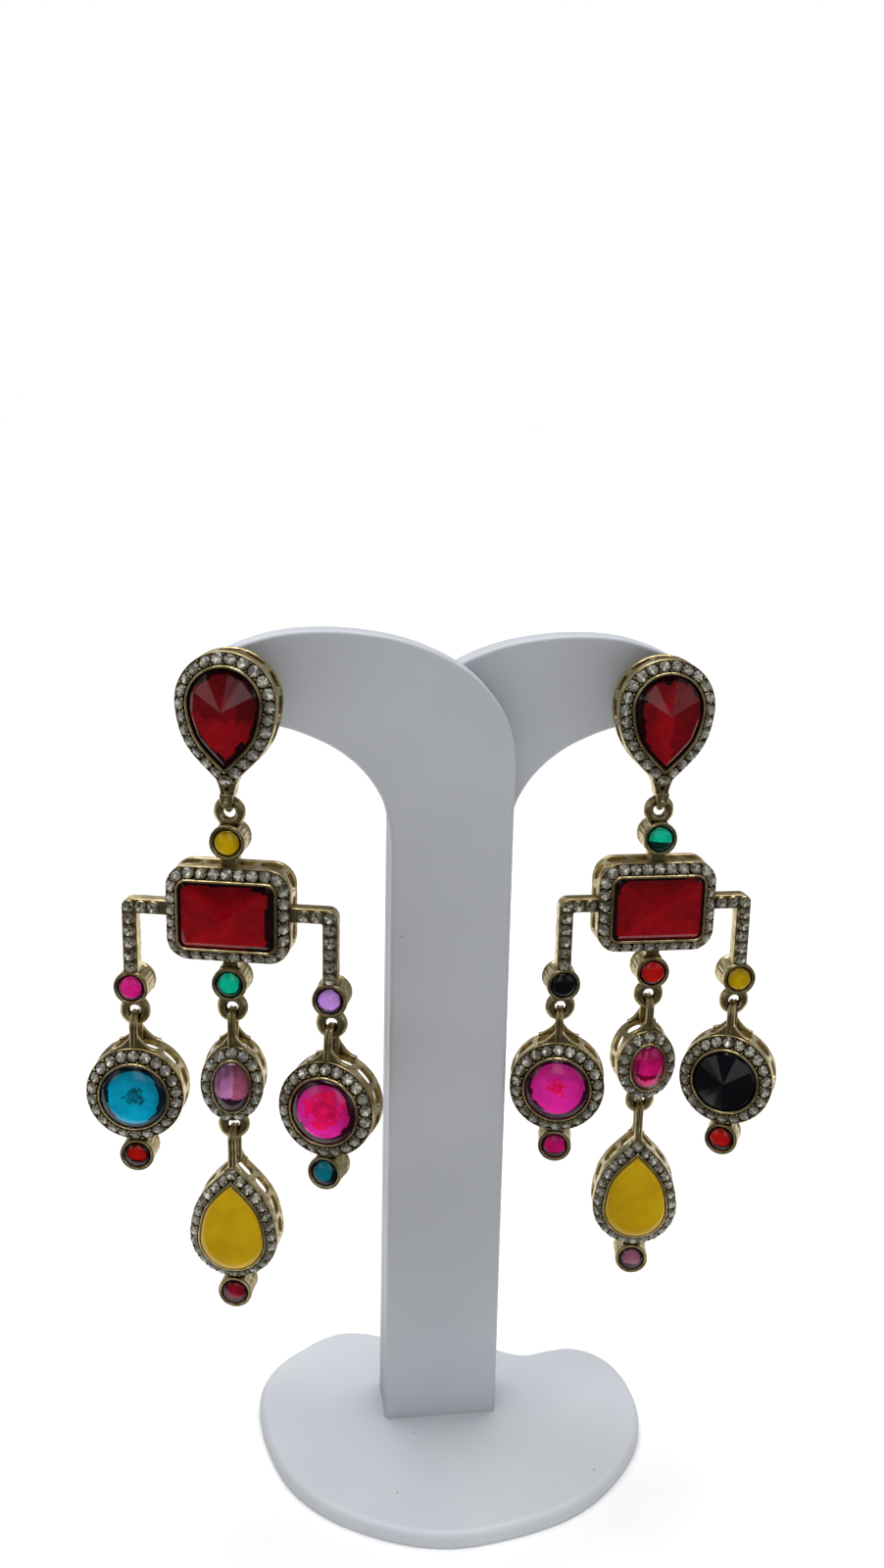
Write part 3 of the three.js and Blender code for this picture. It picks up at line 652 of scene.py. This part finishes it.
def bail(metal, kind):
    """The two wires over the bar: their front legs run into the rim, their back legs into
    the ring."""
    middle, half, slim = EYE["depth"], BAIL["half"], BAIL["slim"] * BAIL["wire"]
    foot = REACH[kind] - BAIL["in_rim"]
    bend = BELOW_BAR[kind] + BAIL["lift"] - half
    leg = [(middle - half + 0.1, foot), (middle - half, foot + 0.8), (middle - half, bend - 0.7)]
    arch = [(middle - half * math.cos(a), bend + half * math.sin(a))
            for a in (math.pi * i / 14 for i in range(15))]
    path = leg + arch + [(y + 2 * half, z) for y, z in reversed(leg)]
    ends = [slim * 1.35, slim * 1.12]
    thick = ends + [slim] * (len(path) - 4) + ends[::-1]
    for aside in (-BAIL["apart"], BAIL["apart"]):
        wire(metal, [(aside, y, z) for y, z in path], thick, (1, 0, 0))
    # the shoulders that each leg spreads into, down to the rim and down to the ring
    rim = OUTLINES[kind].grown(WINDOWS[kind][2] - 0.35)
    reach = SHOULDERS[kind]
    near = sorted((x, z) for x, z in rim if abs(x) < reach + 0.4 and z > 0)
    rise = [(x, foot + 0.25 + SHOULDER["rise"] * (1 - abs(x) / reach) ** 1.9)
            for x in (reach * k / 8 for k in range(-8, 9))]
    drop = np.interp([x for x, _ in rise], *zip(*near))
    line = [(x, max(z, low + 0.1)) for (x, z), low in zip(rise, drop)]
    line += [(x, low - 0.5) for (x, _), low in zip(rise[::-1], drop[::-1])]
    for front in SHOULDER["fronts"]:
        slab(metal, line, front, front + SHOULDER["thick"], SHOULDER["edge"])


def rounded_line(corners, radii, steps=6):
    """A closed line through corners, each rounded with its own radius."""
    line = []
    for i, (corner, radius) in enumerate(zip(corners, radii)):
        p = Vector(corner)
        if not radius:
            line.append(tuple(p))
            continue
        a = (Vector(corners[i - 1]) - p).normalized()
        b = (Vector(corners[(i + 1) % len(corners)]) - p).normalized()
        half = a.angle(b) / 2
        centre = p + (a + b).normalized() * radius / math.sin(half)
        start, end = (p + way * radius / math.tan(half) - centre for way in (a, b))
        for k in range(steps + 1):
            line.append(tuple(centre + start.lerp(end, k / steps).normalized() * radius))
    return line


def arm(metal, stones, side, reach, drop):
    """A side arm: out from the frame and down to its cup, with one row of rhinestones."""
    half, z = ARM["half"], ARM["z"]
    inner = WINDOWS["rect"][0] / 2 + WINDOWS["rect"][2] - 0.7
    foot = drop + CUP_RADIUS
    corners = [(inner, z + half), (reach + half, z + half), (reach + half, foot),
               (reach - half, foot), (reach - half, z - half), (inner, z - half)]
    line = rounded_line([(side * x, y) for x, y in corners], [0, ARM["bend"], 0, 0, 0.25, 0])
    slab(metal, line, ARM["front"] + 0.25, ARM["back"], 0.2)
    down = z - foot - 1.0
    rows = round(down / PITCH)
    spots = [(side * (reach - k * PITCH), z, 0, 1) for k in (1, 2)]
    spots += [(side * reach, z - k * down / rows, side, 0) for k in range(rows + 1)]
    for seat in stone_seats(spots, ARM["front"] + 0.05, 0):
        collar(metal, seat, RHINESTONE, 1.0)
        rhinestone(stones, seat, RHINESTONE)


def neck(metal):
    """The slotted neck under a stud, with the loop that the frame hangs in."""
    z = LOOP["z"]

    def placed(line):
        return [(x, z + rise) for x, rise in line]

    slab(metal, both_sides(placed(NECK)), *NECK_DEPTHS, holes=[placed(NECK_SLOT)])
    slab(metal, both_sides(placed(TONGUE)), *TONGUE_DEPTHS)
    bead(metal, Matrix.Translation((0, 0.72, z - 0.3)) @ Matrix.Rotation(TURN / 4, 4, "X"), 0.42)
    hoop(metal, (0, LOOP["depth"], z), LOOP["radius"], LOOP["wire"], edge_on=True)


# ---- The cut stones ----


def bearing(p, middle):
    """The way from the middle to a point, in degrees clockwise from straight up."""
    return math.degrees(math.atan2(p[0] - middle[0], p[-1] - middle[1])) % 360


def between(one, other):
    """The angle between two bearings."""
    return abs((one - other + 180) % 360 - 180)


def drawn_in(points, middle, share, depth):
    """Points at one depth, a share of the way from the middle out to each of these."""
    return [(middle[0] + (p[0] - middle[0]) * share, depth,
             middle[1] + (p[-1] - middle[1]) * share) for p in points]


def corner_ring(outline, share, depth, bearings, middle):
    """Corners towards given bearings, at a share of the way from the middle to the edge."""
    edge = outline.grown(-STONE_PLAY)
    nearest = [min(edge, key=lambda p: between(bearing(p, middle), way)) for way in bearings]
    return drawn_in(nearest, middle, share, depth)


def facets_between(shape, rim, corners, middle):
    """Facets from a fine outer ring of points in to a few corners, each with its own share."""
    ways = [bearing(c, middle) for c in corners]
    owner = []
    for way in (bearing(p, middle) for p in rim):
        owner.append(min(range(len(ways)), key=lambda k: between(ways[k], way)))
    count = len(rim)
    faces = []
    for i in range(count):
        j = (i + 1) % count
        faces.append((i, j, count + owner[i]))
        if owner[j] != owner[i]:
            faces.append((j, count + owner[j], count + owner[i]))
    shape.add(rim + corners, faces, flat=True)


def close_to(shape, ring, point, flat):
    last = len(ring)
    shape.add(ring + [point], [(i, (i + 1) % last, last) for i in range(last)], flat=flat)


def foiled_back(shape, outline, girdle, depth, look, middle=(0, 0), rings=18, ragged=0.08):
    """The back under a stone: bright foil (finish 1) that stops at a ragged dark rim of painted
    shade (finish 2), with a tinted or mottled part (finishes 3 and 4) where the stone has
    one. A heart there is coloured foil; a band or a part right of a line is painted shade,
    and on the left oval a painted reflection."""
    rim = outline.ring(-STONE_PLAY, girdle)
    count = len(rim)
    top, right, bottom, left = look["rim"]
    points = list(rim)
    for share in (k / rings for k in range(rings - 1, 0, -1)):
        points += drawn_in(rim, middle, share, girdle + depth * (1 - share))
    points.append((middle[0], girdle + depth, middle[1]))
    faces = bands(count, rings)
    faces += [((rings - 1) * count + i, (rings - 1) * count + (i + 1) % count, rings * count)
              for i in range(count)]
    rags, flecks, finishes = {}, {}, []
    for k in range(rings):
        share = 1 - (k + 0.5) / rings
        for i in range(count):
            way = math.radians(bearing(rim[i], middle))
            up, across = math.cos(way), math.sin(way)
            if i // 3 not in rags:
                rags[i // 3] = chance.uniform(-1, 1)
            # every face draws, and the first of each little group sets that group's fleck
            fleck = flecks.setdefault((i // 3, k // 2), chance.uniform(-1, 1))
            # the width here of the dark rim, which is painted shade
            width = (up * up * (top if up > 0 else bottom)
                     + across * across * (right if across > 0 else left))
            width *= 1 + ragged * rags[i // 3]
            # the band and the part right of a line are painted shade, and on the left oval a
            # painted reflection
            banded = look.get("below", -2) > share * up > look.get("to", -2) + 0.05 * fleck
            if share > 1 - width:
                finishes.append(2)
            elif banded or share * across > look.get("right_of", 2) + 0.06 * fleck:
                finishes.append(3)
            elif share < look.get("heart", 0) * (0.8 + 0.35 * fleck):
                finishes.append(4 if 0.2 < share / look["heart"] < 0.5 + 0.1 * fleck else 3)
            else:
                finishes.append(1)
    order = sorted(range(len(faces)), key=finishes.__getitem__)
    shape.add(points, [faces[i] for i in order], [finishes[i] for i in order], True)


def domed(shape, outline, girdle, rise, steps=7):
    """A smooth domed top (finish 0)."""
    rings = []
    for a in (math.pi / 2 * i / steps for i in range(steps)):
        rings.append([(x, girdle - rise * math.sin(a), z)
                      for x, z in outline.grown(-STONE_PLAY) * math.cos(a)])
    skin(shape, rings, ends=False)
    close_to(shape, rings[-1], (0, girdle - rise, 0), False)


# the bearings of a rose cut's corners, and how far out and up each step of a table cut is
ROSE_WAYS = (10, 31, 62, 95, 140, 180, 220, 265, 301, 332)
TABLE_STEPS = ((-0.12, 0.4), (-0.3, 0.62), (-0.62, 0.78), (-1.1, 0.85))


def stone_cut(kind, style, look):
    """A big stone of one setting: its top in finish 0 and its foiled back behind."""
    shape = Shape()
    outline = OUTLINES[kind]
    rim = outline.ring(-STONE_PLAY, GIRDLE)
    w, h, _ = WINDOWS[kind]
    middle = (0, 1.2) if style == "rose" else (0, 0)
    if style == "dome":
        domed(shape, outline, GIRDLE, 1.5 if kind == "oval" else 1.3)
    elif style == "table":
        rings = [rim] + [[(x * (1 + 2 * by / w), GIRDLE - rise, z * (1 + 2 * by / h))
                          for x, _, z in rim] for by, rise in TABLE_STEPS]
        skin(shape, rings, ends=False)
        close_to(shape, rings[-1], (0, GIRDLE - 0.9, 0), False)
    else:
        apex = (middle[0], GIRDLE - 1.6, middle[1])
        if style == "pyramid":
            corners = [(x * w * 0.42, GIRDLE - 0.5, z * h * 0.4)
                       for x, z in ((1, 1), (1, -1), (-1, -1), (-1, 1))]
            apex = (-0.3, GIRDLE - 1.25, -0.3)
        elif style == "rose":
            corners = corner_ring(outline, 0.86, GIRDLE - 0.55, ROSE_WAYS, middle)
        else:
            corners = corner_ring(outline, 0.9, GIRDLE - 0.45, range(0, 360, 20), middle)
        facets_between(shape, rim, corners, middle)
        close_to(shape, corners, apex, True)
    foiled_back(shape, outline, GIRDLE, 1.0 if kind == "oval" else 0.8, look, middle,
                ragged=0.08 if style == "dome" else 0.3)
    return shape


def cup_stone(look):
    """A small round stone with a low dome over its foil."""
    shape = Shape()
    domed(shape, CUP_STONE, CUP_GIRDLE, 0.62, 6)
    foiled_back(shape, CUP_STONE, CUP_GIRDLE, 0.2, look, rings=16)
    return shape


# ---- Places taken from the frame ----


def axes_of(name, back):
    """The axes of the setting round a stone, from the flat back of that stone's solid."""
    mesh = frame["nodes"][name].data
    areas = {}
    for face in mesh.polygons:
        key = tuple(round(c, 2) for c in face.normal)
        areas.setdefault(key, []).append(face)
    faces = max(areas.values(), key=lambda group: sum(f.area for f in group))
    y = sum((f.normal * f.area for f in faces), Vector()).normalized()
    x = y.cross(Vector((0, 0, 1))).normalized()
    z = x.cross(y)
    cap = [mesh.vertices[i].co for f in faces for i in f.vertices]
    spread = [[p.dot(axis) for p in cap] for axis in (x, y, z)]
    middle = [(min(s) + max(s)) / 2 for s in spread]
    origin = x * middle[0] + y * (middle[1] - back * MM) + z * middle[2]
    return Matrix.Translation(origin) @ basis(x, y, z) @ METRES


def within(axes, other):
    """Where another setting's origin is in these axes: its x and z in millimetres."""
    spot = axes.inverted() @ other.translation
    return spot.x, spot.z


# ---- The pieces ----

GOLD = antique_gold()
WHITE = white_moulding()
CLEAR = cut_glass("clear", "#eef0f0", "#f8f8f8")
# each foil's bright and dull colours, its roughness and how much of it mirrors
FOILS = {name: foil(name, *looks) for name, *looks in (
    ("bright", "#c8c4b8", "#a09c90", 0.28, 0.65),
    ("dull", "#848074", "#6e6a60", 0.35, 0.5),
    ("worn", "#625e52", "#4e4b42", 0.35, 0.4),
    ("soft", "#dadad6", "#cacac6", 0.28, 0.6),
    # painted shade: a darker foil over the upper part of the left stud's stone and the right part
    # of the right one
    ("shaded", "#acaca8", "#9c9c98", 0.28, 0.6),
    # painted shade: the dark rim round each stone, and a dark low band on one cup stone
    ("painted_dark_shade", "#302028", "#181014", 0.5, 0.5),
    ("rose", "#f07c88", "#e46474", 0.3, 0.5),
    ("deep", "#dc6478", "#c05068", 0.3, 0.5),
    # painted reflection: the browner right half of the left oval, beside its bright left half
    ("painted_brown_reflection", "#c0988c", "#a88074", 0.3, 0.5),
    # painted shade: a dark band across the lower part of the right oval
    ("painted_band_shade", "#804858", "#683444", 0.3, 0.5),
    ("smoke", "#90a098", "#607068", 0.4, 0.35),
)}

# each stone's colour in the glass or the resin, deep and pale
GLASS = {
    "ruby": ("#860612", "#9c0a16"),
    "yellow": ("#bc9800", "#c8a400"),
    "green": ("#00c49e", "#00d0aa"),
    "pink": ("#e81690", "#f22c9c"),
    "lilac": ("#d090fc", "#dca0ff"),
    "aqua": ("#00a4d0", "#00b0dc"),
    "hot_pink": ("#e820a4", "#f430b0"),
    "mauve": ("#b468a8", "#c484b8"),
    "teal": ("#007086", "#007c92"),
    "red": ("#b80a08", "#c41810"),
    "crimson": ("#8a0624", "#a01030"),
    "magenta": ("#cc0a6c", "#d81878"),
    "rose": ("#a05878", "#b07088"),
}
RESIN = {"mustard": ("#c49a00", "#d4ac00"), "black": ("#040509", "#07080e")}
# the cut of each big stone by its setting; of the others, a black one is a cone and the rest
# are domed
CUTS = {"stud": "rose", "rect": "pyramid", "pear": "table"}

# how each stone's foil lies: the width of its dark rim of painted shade at the top, right,
# bottom and left, and a tinted part, which is a heart of some size, a band below one height
# and down to another, or all that is right of a line. A heart is coloured foil; a band or a
# part right of a line is painted shade, and on the left oval a painted reflection. Each is
# a share of the way from the middle to the edge.
PLAIN = {"rim": (0.12, 0.12, 0.12, 0.12)}
LOOKS = {
    "left_stud": {"rim": (0.2, 0.14, 0.2, 0.1), "below": 1, "to": -0.22, "tint": "shade"},
    "right_stud": {"rim": (0.2, 0.1, 0.14, 0.28), "right_of": 0.12, "tint": "shade"},
    "left_frame": {"rim": (0.14, 0.2, 0.05, 0.07)},
    "right_frame": {"rim": (0.12, 0.07, 0.04, 0.13)},
    "left_drop_left": {"rim": (0.2, 0.28, 0.14, 0.26), "heart": 0.3, "tint": "smoke"},
    "left_drop_right": {"rim": (0.22, 0.24, 0.24, 0.24), "heart": 0.64, "tint": "rose"},
    "right_drop_left": {"rim": (0.16, 0.2, 0.24, 0.24), "heart": 0.3, "tint": "rose"},
    "left_oval": {"rim": (0.08, 0.14, 0.5, 0.1), "right_of": 0.05, "tint": "painted_brown_reflection"},
    "right_oval": {"rim": (0.14, 0.14, 0.24, 0.14), "below": -0.36, "to": -0.52, "tint": "painted_band_shade"},
    "left_cup_stone_top": {"rim": (0.1, 0.1, 0.14, 0.12)},
    "left_cup_stone_middle": {"rim": (0.12, 0.3, 0.35, 0.25)},
    "left_cup_stone_left": {"rim": (0.12, 0.2, 0.25, 0.25)},
    "left_cup_stone_right": {"rim": (0.15, 0.25, 0.35, 0.2)},
    "right_cup_stone_top": {"rim": (0.1, 0.15, 0.16, 0.15), "below": -0.22, "to": -1.0,
                            "tint": "night"},
    "right_cup_stone_middle": {"rim": (0.12, 0.15, 0.25, 0.15)},
    "right_cup_stone_right": {"rim": (0.1, 0.15, 0.2, 0.12)},
    "left_drop_left_tip": {"rim": (0.3, 0.3, 0.6, 0.3)},
    "left_drop_right_tip": {"rim": (0.12, 0.4, 0.4, 0.3)},
    "left_pear_tip": {"rim": (0.25, 0.25, 0.35, 0.3)},
    "right_drop_left_tip": {"rim": (0.12, 0.2, 0.45, 0.2)},
    "right_drop_right_tip": {"rim": (0.2, 0.3, 0.45, 0.2)},
    "right_pear_tip": {"rim": (0.2, 0.3, 0.5, 0.25)},
}
# the foils of each tinted part: the hearts' foils are coloured, the rest are painted shade and, on
# the left oval, a painted reflection
TINTS = {"rose": ("rose", "deep"), "smoke": ("smoke", "smoke"), "painted_band_shade": ("painted_band_shade",),
         "painted_brown_reflection": ("painted_brown_reflection",), "night": ("painted_dark_shade",), "shade": ("shaded",)}
SLOTS = {row["node"]: row["material_slot"] for row in frame["record"]["subparts"]}


@functools.cache
def stone_front(colour):
    """A stone's glass or resin, made once for each colour."""
    if colour in RESIN:
        return cabochon_resin(colour, *RESIN[colour])
    return cut_glass(colour, *GLASS[colour])


def add_stone(name, kind, axes, body):
    slot = SLOTS[name]
    colour = slot.removesuffix("_stone")
    look = LOOKS.get(name.removesuffix("_stone"), PLAIN)
    if kind == "cup":
        shape = cup_stone(look)
    else:
        shape = stone_cut(kind, CUTS.get(kind, "cone" if colour == "black" else "dome"), look)
    # finish 2 is the dark rim of painted shade, then come the tinted part's foils
    backs = ("soft", "painted_dark_shade", *TINTS.get(look.get("tint"), ()))
    finishes = [stone_front(colour)] + [FOILS[back] for back in backs]
    piece(name + "_cut", shape, axes, finishes, body, [name])


def add_metal(name, metal, stones, axes, body):
    piece(name + "_cast", metal, axes, [GOLD], body, [name])
    if stones.points:
        finishes = [CLEAR] + [FOILS[back] for back in ("bright", "dull", "worn")]
        piece(name + "_paving", stones, axes, finishes, body)


def add_stud(side):
    axes = axes_of(side + "_stud_stone", STONE_BACK)
    metal, stones = Shape(), Shape()
    setting(metal, stones, "stud")
    neck(metal)
    radius, end, above = EAR_POST["radius"], EAR_POST["to"], EAR_POST["above"]
    path = [(0, y, above) for y in (EAR_POST["from"], 8, 12, end - 0.5, end)]
    wire(metal, path, [radius] * 4 + [EAR_POST["tip"]], (1, 0, 0))
    add_metal(side + "_stud", metal, stones, axes, "stand")
    add_stone(side + "_stud_stone", "stud", axes, "stand")
    add_clutch(side, axes)


def add_clutch(side, axes):
    """A barrel clutch with a waist, turned round its bore."""
    name = side + "_clutch"
    lo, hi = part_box(name)
    depth = (axes.inverted() @ ((lo + hi) / 2)).y
    metal = Shape()
    circle = ellipse(2, 2, 32)
    skin(metal, [circle.ring(r - 1, d) for r, d in CLUTCH_PROFILE], again=True,
         axes=Matrix.Translation((0, depth, EAR_POST["above"])))
    add_metal(name, metal, Shape(), axes, "stand")


def add_frame(side, body):
    name = side + "_frame"
    axes = axes_of(name + "_stone", STONE_BACK)
    metal, stones = Shape(), Shape()
    setting(metal, stones, "rect")
    for spot in ("top", "middle", "left", "right"):
        stone = f"{side}_cup_stone_{spot}"
        cup_axes = axes_of(stone, CUP_STONE_BACK)
        x, z = within(axes, cup_axes)
        cup(metal, x, z)
        eye(metal, x, z + (EYE["from_cup"] if spot == "top" else -EYE["from_cup"]))
        if spot == "top":
            bridge(metal, x, z - CUP_RADIUS, REACH["rect"] - 0.6)
        elif spot == "middle":
            bridge(metal, x, 0.6 - REACH["rect"], z + CUP_RADIUS)
        else:
            arm(metal, stones, math.copysign(1, x), abs(x), z)
        add_stone(stone, "cup", cup_axes, body)
    add_metal(name, metal, stones, axes, body)
    add_stone(name + "_stone", "rect", axes, body)


def add_hanging(name, stone, kind, body, tip=None):
    """A hanging setting with its bail, over a small cup or, without one, over an eye."""
    axes = axes_of(stone, STONE_BACK)
    metal, stones = Shape(), Shape()
    setting(metal, stones, kind)
    bail(metal, kind)
    foot = 0.7 - REACH[kind]
    if tip:
        tip_axes = axes_of(tip, CUP_STONE_BACK)
        x, z = within(axes, tip_axes)
        cup(metal, x, z)
        bridge(metal, x, foot, z + CUP_RADIUS)
        add_stone(tip, "cup", tip_axes, body)
    else:
        eye(metal, 0, -EYE["under_oval"])
        bridge(metal, 0, foot, EYE["radius"] - EYE["under_oval"], 0.85)
    add_metal(name, metal, stones, axes, body)
    add_stone(stone, kind, axes, body)


def add_earring(side):
    body = side + "_chandelier"
    add_stud(side)
    add_frame(side, body)
    for drop in (side + "_drop_left", side + "_drop_right"):
        add_hanging(drop, drop + "_stone", "round", body, drop + "_tip_stone")
    add_hanging(side + "_oval_link", side + "_oval_stone", "oval", body)
    add_hanging(side + "_pear_drop", side + "_pear_stone", "pear", body, side + "_pear_tip_stone")


# ---- The stand ----

CORNER = math.radians(40)  # a line that turns more than this stays sharp
PLATE_EDGE = 0.6
FOOT_EDGE = {"above": 0.95, "below": 0.2}
LET_IN = 1.2  # how far a plate's foot is let down into the base


def flat_loops(name, way):
    """The closed lines round the flat face of a solid that looks one way, longest first."""
    mesh = frame["nodes"][name].data
    way = Vector(way)
    spots = [tuple(round(c, 7) for c in v.co) for v in mesh.vertices]
    far = max(v.co.dot(way) for v in mesh.vertices)
    after = {}
    for face in mesh.polygons:
        if face.normal.dot(way) < 0.999 or abs(face.center.dot(way) - far) > 1e-5:
            continue
        corners = [spots[i] for i in face.vertices]
        for edge in zip(corners, corners[1:] + corners[:1]):
            # an edge that two faces share isn't on the outline
            if edge[::-1] in after:
                del after[edge[::-1]]
            else:
                after[edge] = True
    after = dict(after.keys())
    loops = []
    while after:
        start, step = after.popitem()
        loop = [start]
        while step != start:
            loop.append(step)
            step = after.pop(step)
        loops.append([Vector(p) for p in loop])
    return sorted(loops, key=lambda loop: -sum((b - a).length for a, b in zip(loop, loop[1:])))


def smoothed(points, per_mm):
    """A smooth closed line through flat points, kept sharp at corners and straight runs."""
    points = [Vector(p) for p in points]
    count = len(points)

    def sharp(i):
        p = points[i % count]
        return (p - points[(i - 1) % count]).angle(points[(i + 1) % count] - p) > CORNER

    line = []
    for i, p in enumerate(points):
        q = points[(i + 1) % count]
        before = p if sharp(i) else points[i - 1]
        after = q if sharp(i + 1) else points[(i + 2) % count]
        length = (q - p).length
        steps = max(1, min(12, round(length * per_mm)))
        tangent_p = (q - before).normalized() * length
        tangent_q = (after - p).normalized() * length
        for t in (k / steps for k in range(steps)):
            line.append((2 * t**3 - 3 * t**2 + 1) * p + (t**3 - 2 * t**2 + t) * tangent_p
                        + (3 * t**2 - 2 * t**3) * q + (t**3 - t**2) * tangent_q)
    return line


def grown_line(line, by):
    line = np.array(line, float)
    return line + ways_out(line) * by


def add_white(name, solid, shape):
    piece(name, shape, METRES, [WHITE], "stand", [solid])


def add_plate(name, way, grow):
    """A plate with its arm, cut from sheet and rounded along its edges; its line is grown
    from its solid's flat face that looks one way. Its foot goes into the base, so that no
    rounded edge shows there."""
    solid = "stand_" + name
    lo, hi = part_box(solid)
    outer, hole = ([(p.x / MM, p.z / MM) for p in loop] for loop in flat_loops(solid, way)[:2])
    line = smoothed(outer, 0.9)
    low = min(z for _, z in line)
    line = grown_line([(x, z - LET_IN if z < low + 0.3 else z) for x, z in line], grow)
    shape = Shape()
    slab(shape, line, lo.y / MM, hi.y / MM, PLATE_EDGE, holes=[hole], steps=6)
    add_white(name, solid, shape)


def add_foot():
    lo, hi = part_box("stand_base")
    loop = flat_loops("stand_base", (0, 0, -1))[0]
    line = grown_line(smoothed([(p.x / MM, -p.y / MM) for p in loop], 1.2), -0.05)
    shape = Shape()
    lying = Matrix(((1, 0, 0, 0), (0, 0, -1, 0), (0, -1, 0, 0), (0, 0, 0, 1)))
    slab(shape, line, -hi.z / MM, lo.z / MM, FOOT_EDGE["above"], axes=lying, steps=8,
         under=FOOT_EDGE["below"])
    add_white("foot", "stand_base", shape)


# ---- Camera, floor and light ----

CAMERA = {"place": (-0.02959, -0.20676, 0.15691), "yaw": 7.84, "pitch": 14.52, "roll": 1.18,
          "lens": 34.86}


def add_camera():
    data = bpy.data.cameras.new("camera")
    data.lens = CAMERA["lens"]
    data.sensor_width = 36
    data.clip_start = 0.01
    camera = linked("camera", data)
    yaw, pitch, roll = (math.radians(CAMERA[k]) for k in ("yaw", "pitch", "roll"))
    ahead = Vector((math.sin(yaw) * math.cos(pitch), math.cos(yaw) * math.cos(pitch),
                    -math.sin(pitch)))
    right = Vector((math.cos(yaw), -math.sin(yaw), 0))
    up = right.cross(ahead)
    turned = right * math.cos(roll) + up * math.sin(roll)
    upright = up * math.cos(roll) - right * math.sin(roll)
    camera.matrix_world = Matrix.Translation(CAMERA["place"]) @ basis(turned, upright, -ahead)
    bpy.context.scene.camera = camera


def sheet(name, made_of, shades, half, near, far, z):
    """A level sheet of matt paper or card, its fibre drawn in faint clouds about 17 mm across
    where it is really finer, so that it shows."""
    made = clouded(made_of, 60, 3.0, [(0.3, shades[0]), (0.7, shades[1])], {"Roughness": 0.9})
    mesh = bpy.data.meshes.new(name)
    mesh.from_pydata([(-half, near, z), (half, near, z), (half, far, z), (-half, far, z)], [],
                     [(0, 1, 2, 3)])
    mesh.materials.append(made)
    return linked(name, mesh)


def add_floor():
    floor = sheet("floor", "matt_white_paper", ("#f4f4f4", "#f8f8f8"), 6.0, -6.0, 6.0, 0)


def add_flag():
    """A black card over the floor before the stand, which only polished faces mirror."""
    flag = sheet("flag", "matt_black_card", ("#202122", "#2a2b2c"), 3.0, -3.0, -0.042, 0.0005)
    flag.visible_camera = flag.visible_diffuse = flag.visible_shadow = False
    flag.visible_transmission = False


def add_lamp(name, kind, energy, aim):
    data = bpy.data.lights.new(name, kind)
    data.energy = energy
    lamp = linked(name, data)
    lamp.rotation_mode = "QUATERNION"
    lamp.rotation_quaternion = Vector(aim).to_track_quat("-Z", "Y")
    return lamp


def add_fill():
    """A low soft light before the foot, which lifts the front of the foot and the post."""
    fill = add_lamp("low_fill", "AREA", 0.0072, (0, 1, -0.02))
    fill.location = (-0.005, -0.09, 0.006)
    fill.data.spread = math.radians(36)
    fill.data.shape = "RECTANGLE"
    fill.data.size, fill.data.size_y = 0.3, 0.016
    fill.visible_camera = fill.visible_glossy = fill.visible_transmission = False


def add_world():
    """Each kind of ray meets its own surroundings: the camera white paper, glossy rays a soft
    box over the camera, rays through glass an even glow, and all others a dim room."""
    world = bpy.data.worlds.new("studio")
    world.use_nodes = True
    tree = world.node_tree
    tree.nodes.clear()
    rays = node(tree, "LightPath").outputs
    way = node(tree, "SeparateXYZ", {0: node(tree, "TexCoord").outputs["Generated"]})
    high = node(tree, "ValToRGB", {"Fac": way.outputs["Z"]},
                ramp=[(0.0, "#202224"), (0.06, "#ffffff"), (0.5, "#ffffff"), (0.72, "#484a4c")])
    aside = node(tree, "MapRange", {"Value": way.outputs["X"], "From Min": -1.0})
    across = node(tree, "ValToRGB", {"Fac": aside.outputs[0]}, ramp=[
        (0.03, "#808284"), (0.1, "#ffffff"), (0.17, "#484a4c"), (0.31, "#484a4c"),
        (0.36, "#ffffff"), (0.45, "#ffffff"), (0.5, "#5c5e60"), (0.68, "#5c5e60"),
        (0.74, "#c4c6c8"), (0.9, "#c4c6c8"), (0.98, "#6c6e70")])
    box = node(tree, "MixRGB", {"Fac": 1.0, "Color1": high.outputs[0],
                                "Color2": across.outputs[0]}, blend_type="MULTIPLY")
    even = node(tree, "ValToRGB", {"Fac": way.outputs["Z"]},
                ramp=[(0.0, "#606264"), (0.15, "#ffffff")])
    seen = node(tree, "Background", {"Color": linear("#e6eaf0"), "Strength": 0.05})
    for ray, colour, strength in (("Is Glossy Ray", box.outputs[0], 1.0),
                                  ("Is Transmission Ray", even.outputs[0], 1.75),
                                  ("Is Camera Ray", linear("#ffffff"), 1.0)):
        met = node(tree, "Background", {"Color": colour, "Strength": strength})
        seen = node(tree, "MixShader", {0: rays[ray], 1: seen.outputs[0], 2: met.outputs[0]})
    node(tree, "OutputWorld", {"Surface": seen.outputs[0]})
    bpy.context.scene.world = world


add_camera()
add_floor()
add_flag()
add_world()
add_fill()
sun = add_lamp("overhead", "SUN", 4.1, (0.03, -0.12, -1))
sun.data.angle = math.radians(60)
add_plate("front_plate", (0, 1, 0), 0)
add_plate("rear_plate", (0, -1, 0), 1.2)
add_foot()
for side in ("left", "right"):
    add_earring(side)

bpy.context.scene.view_settings.view_transform = "Standard"
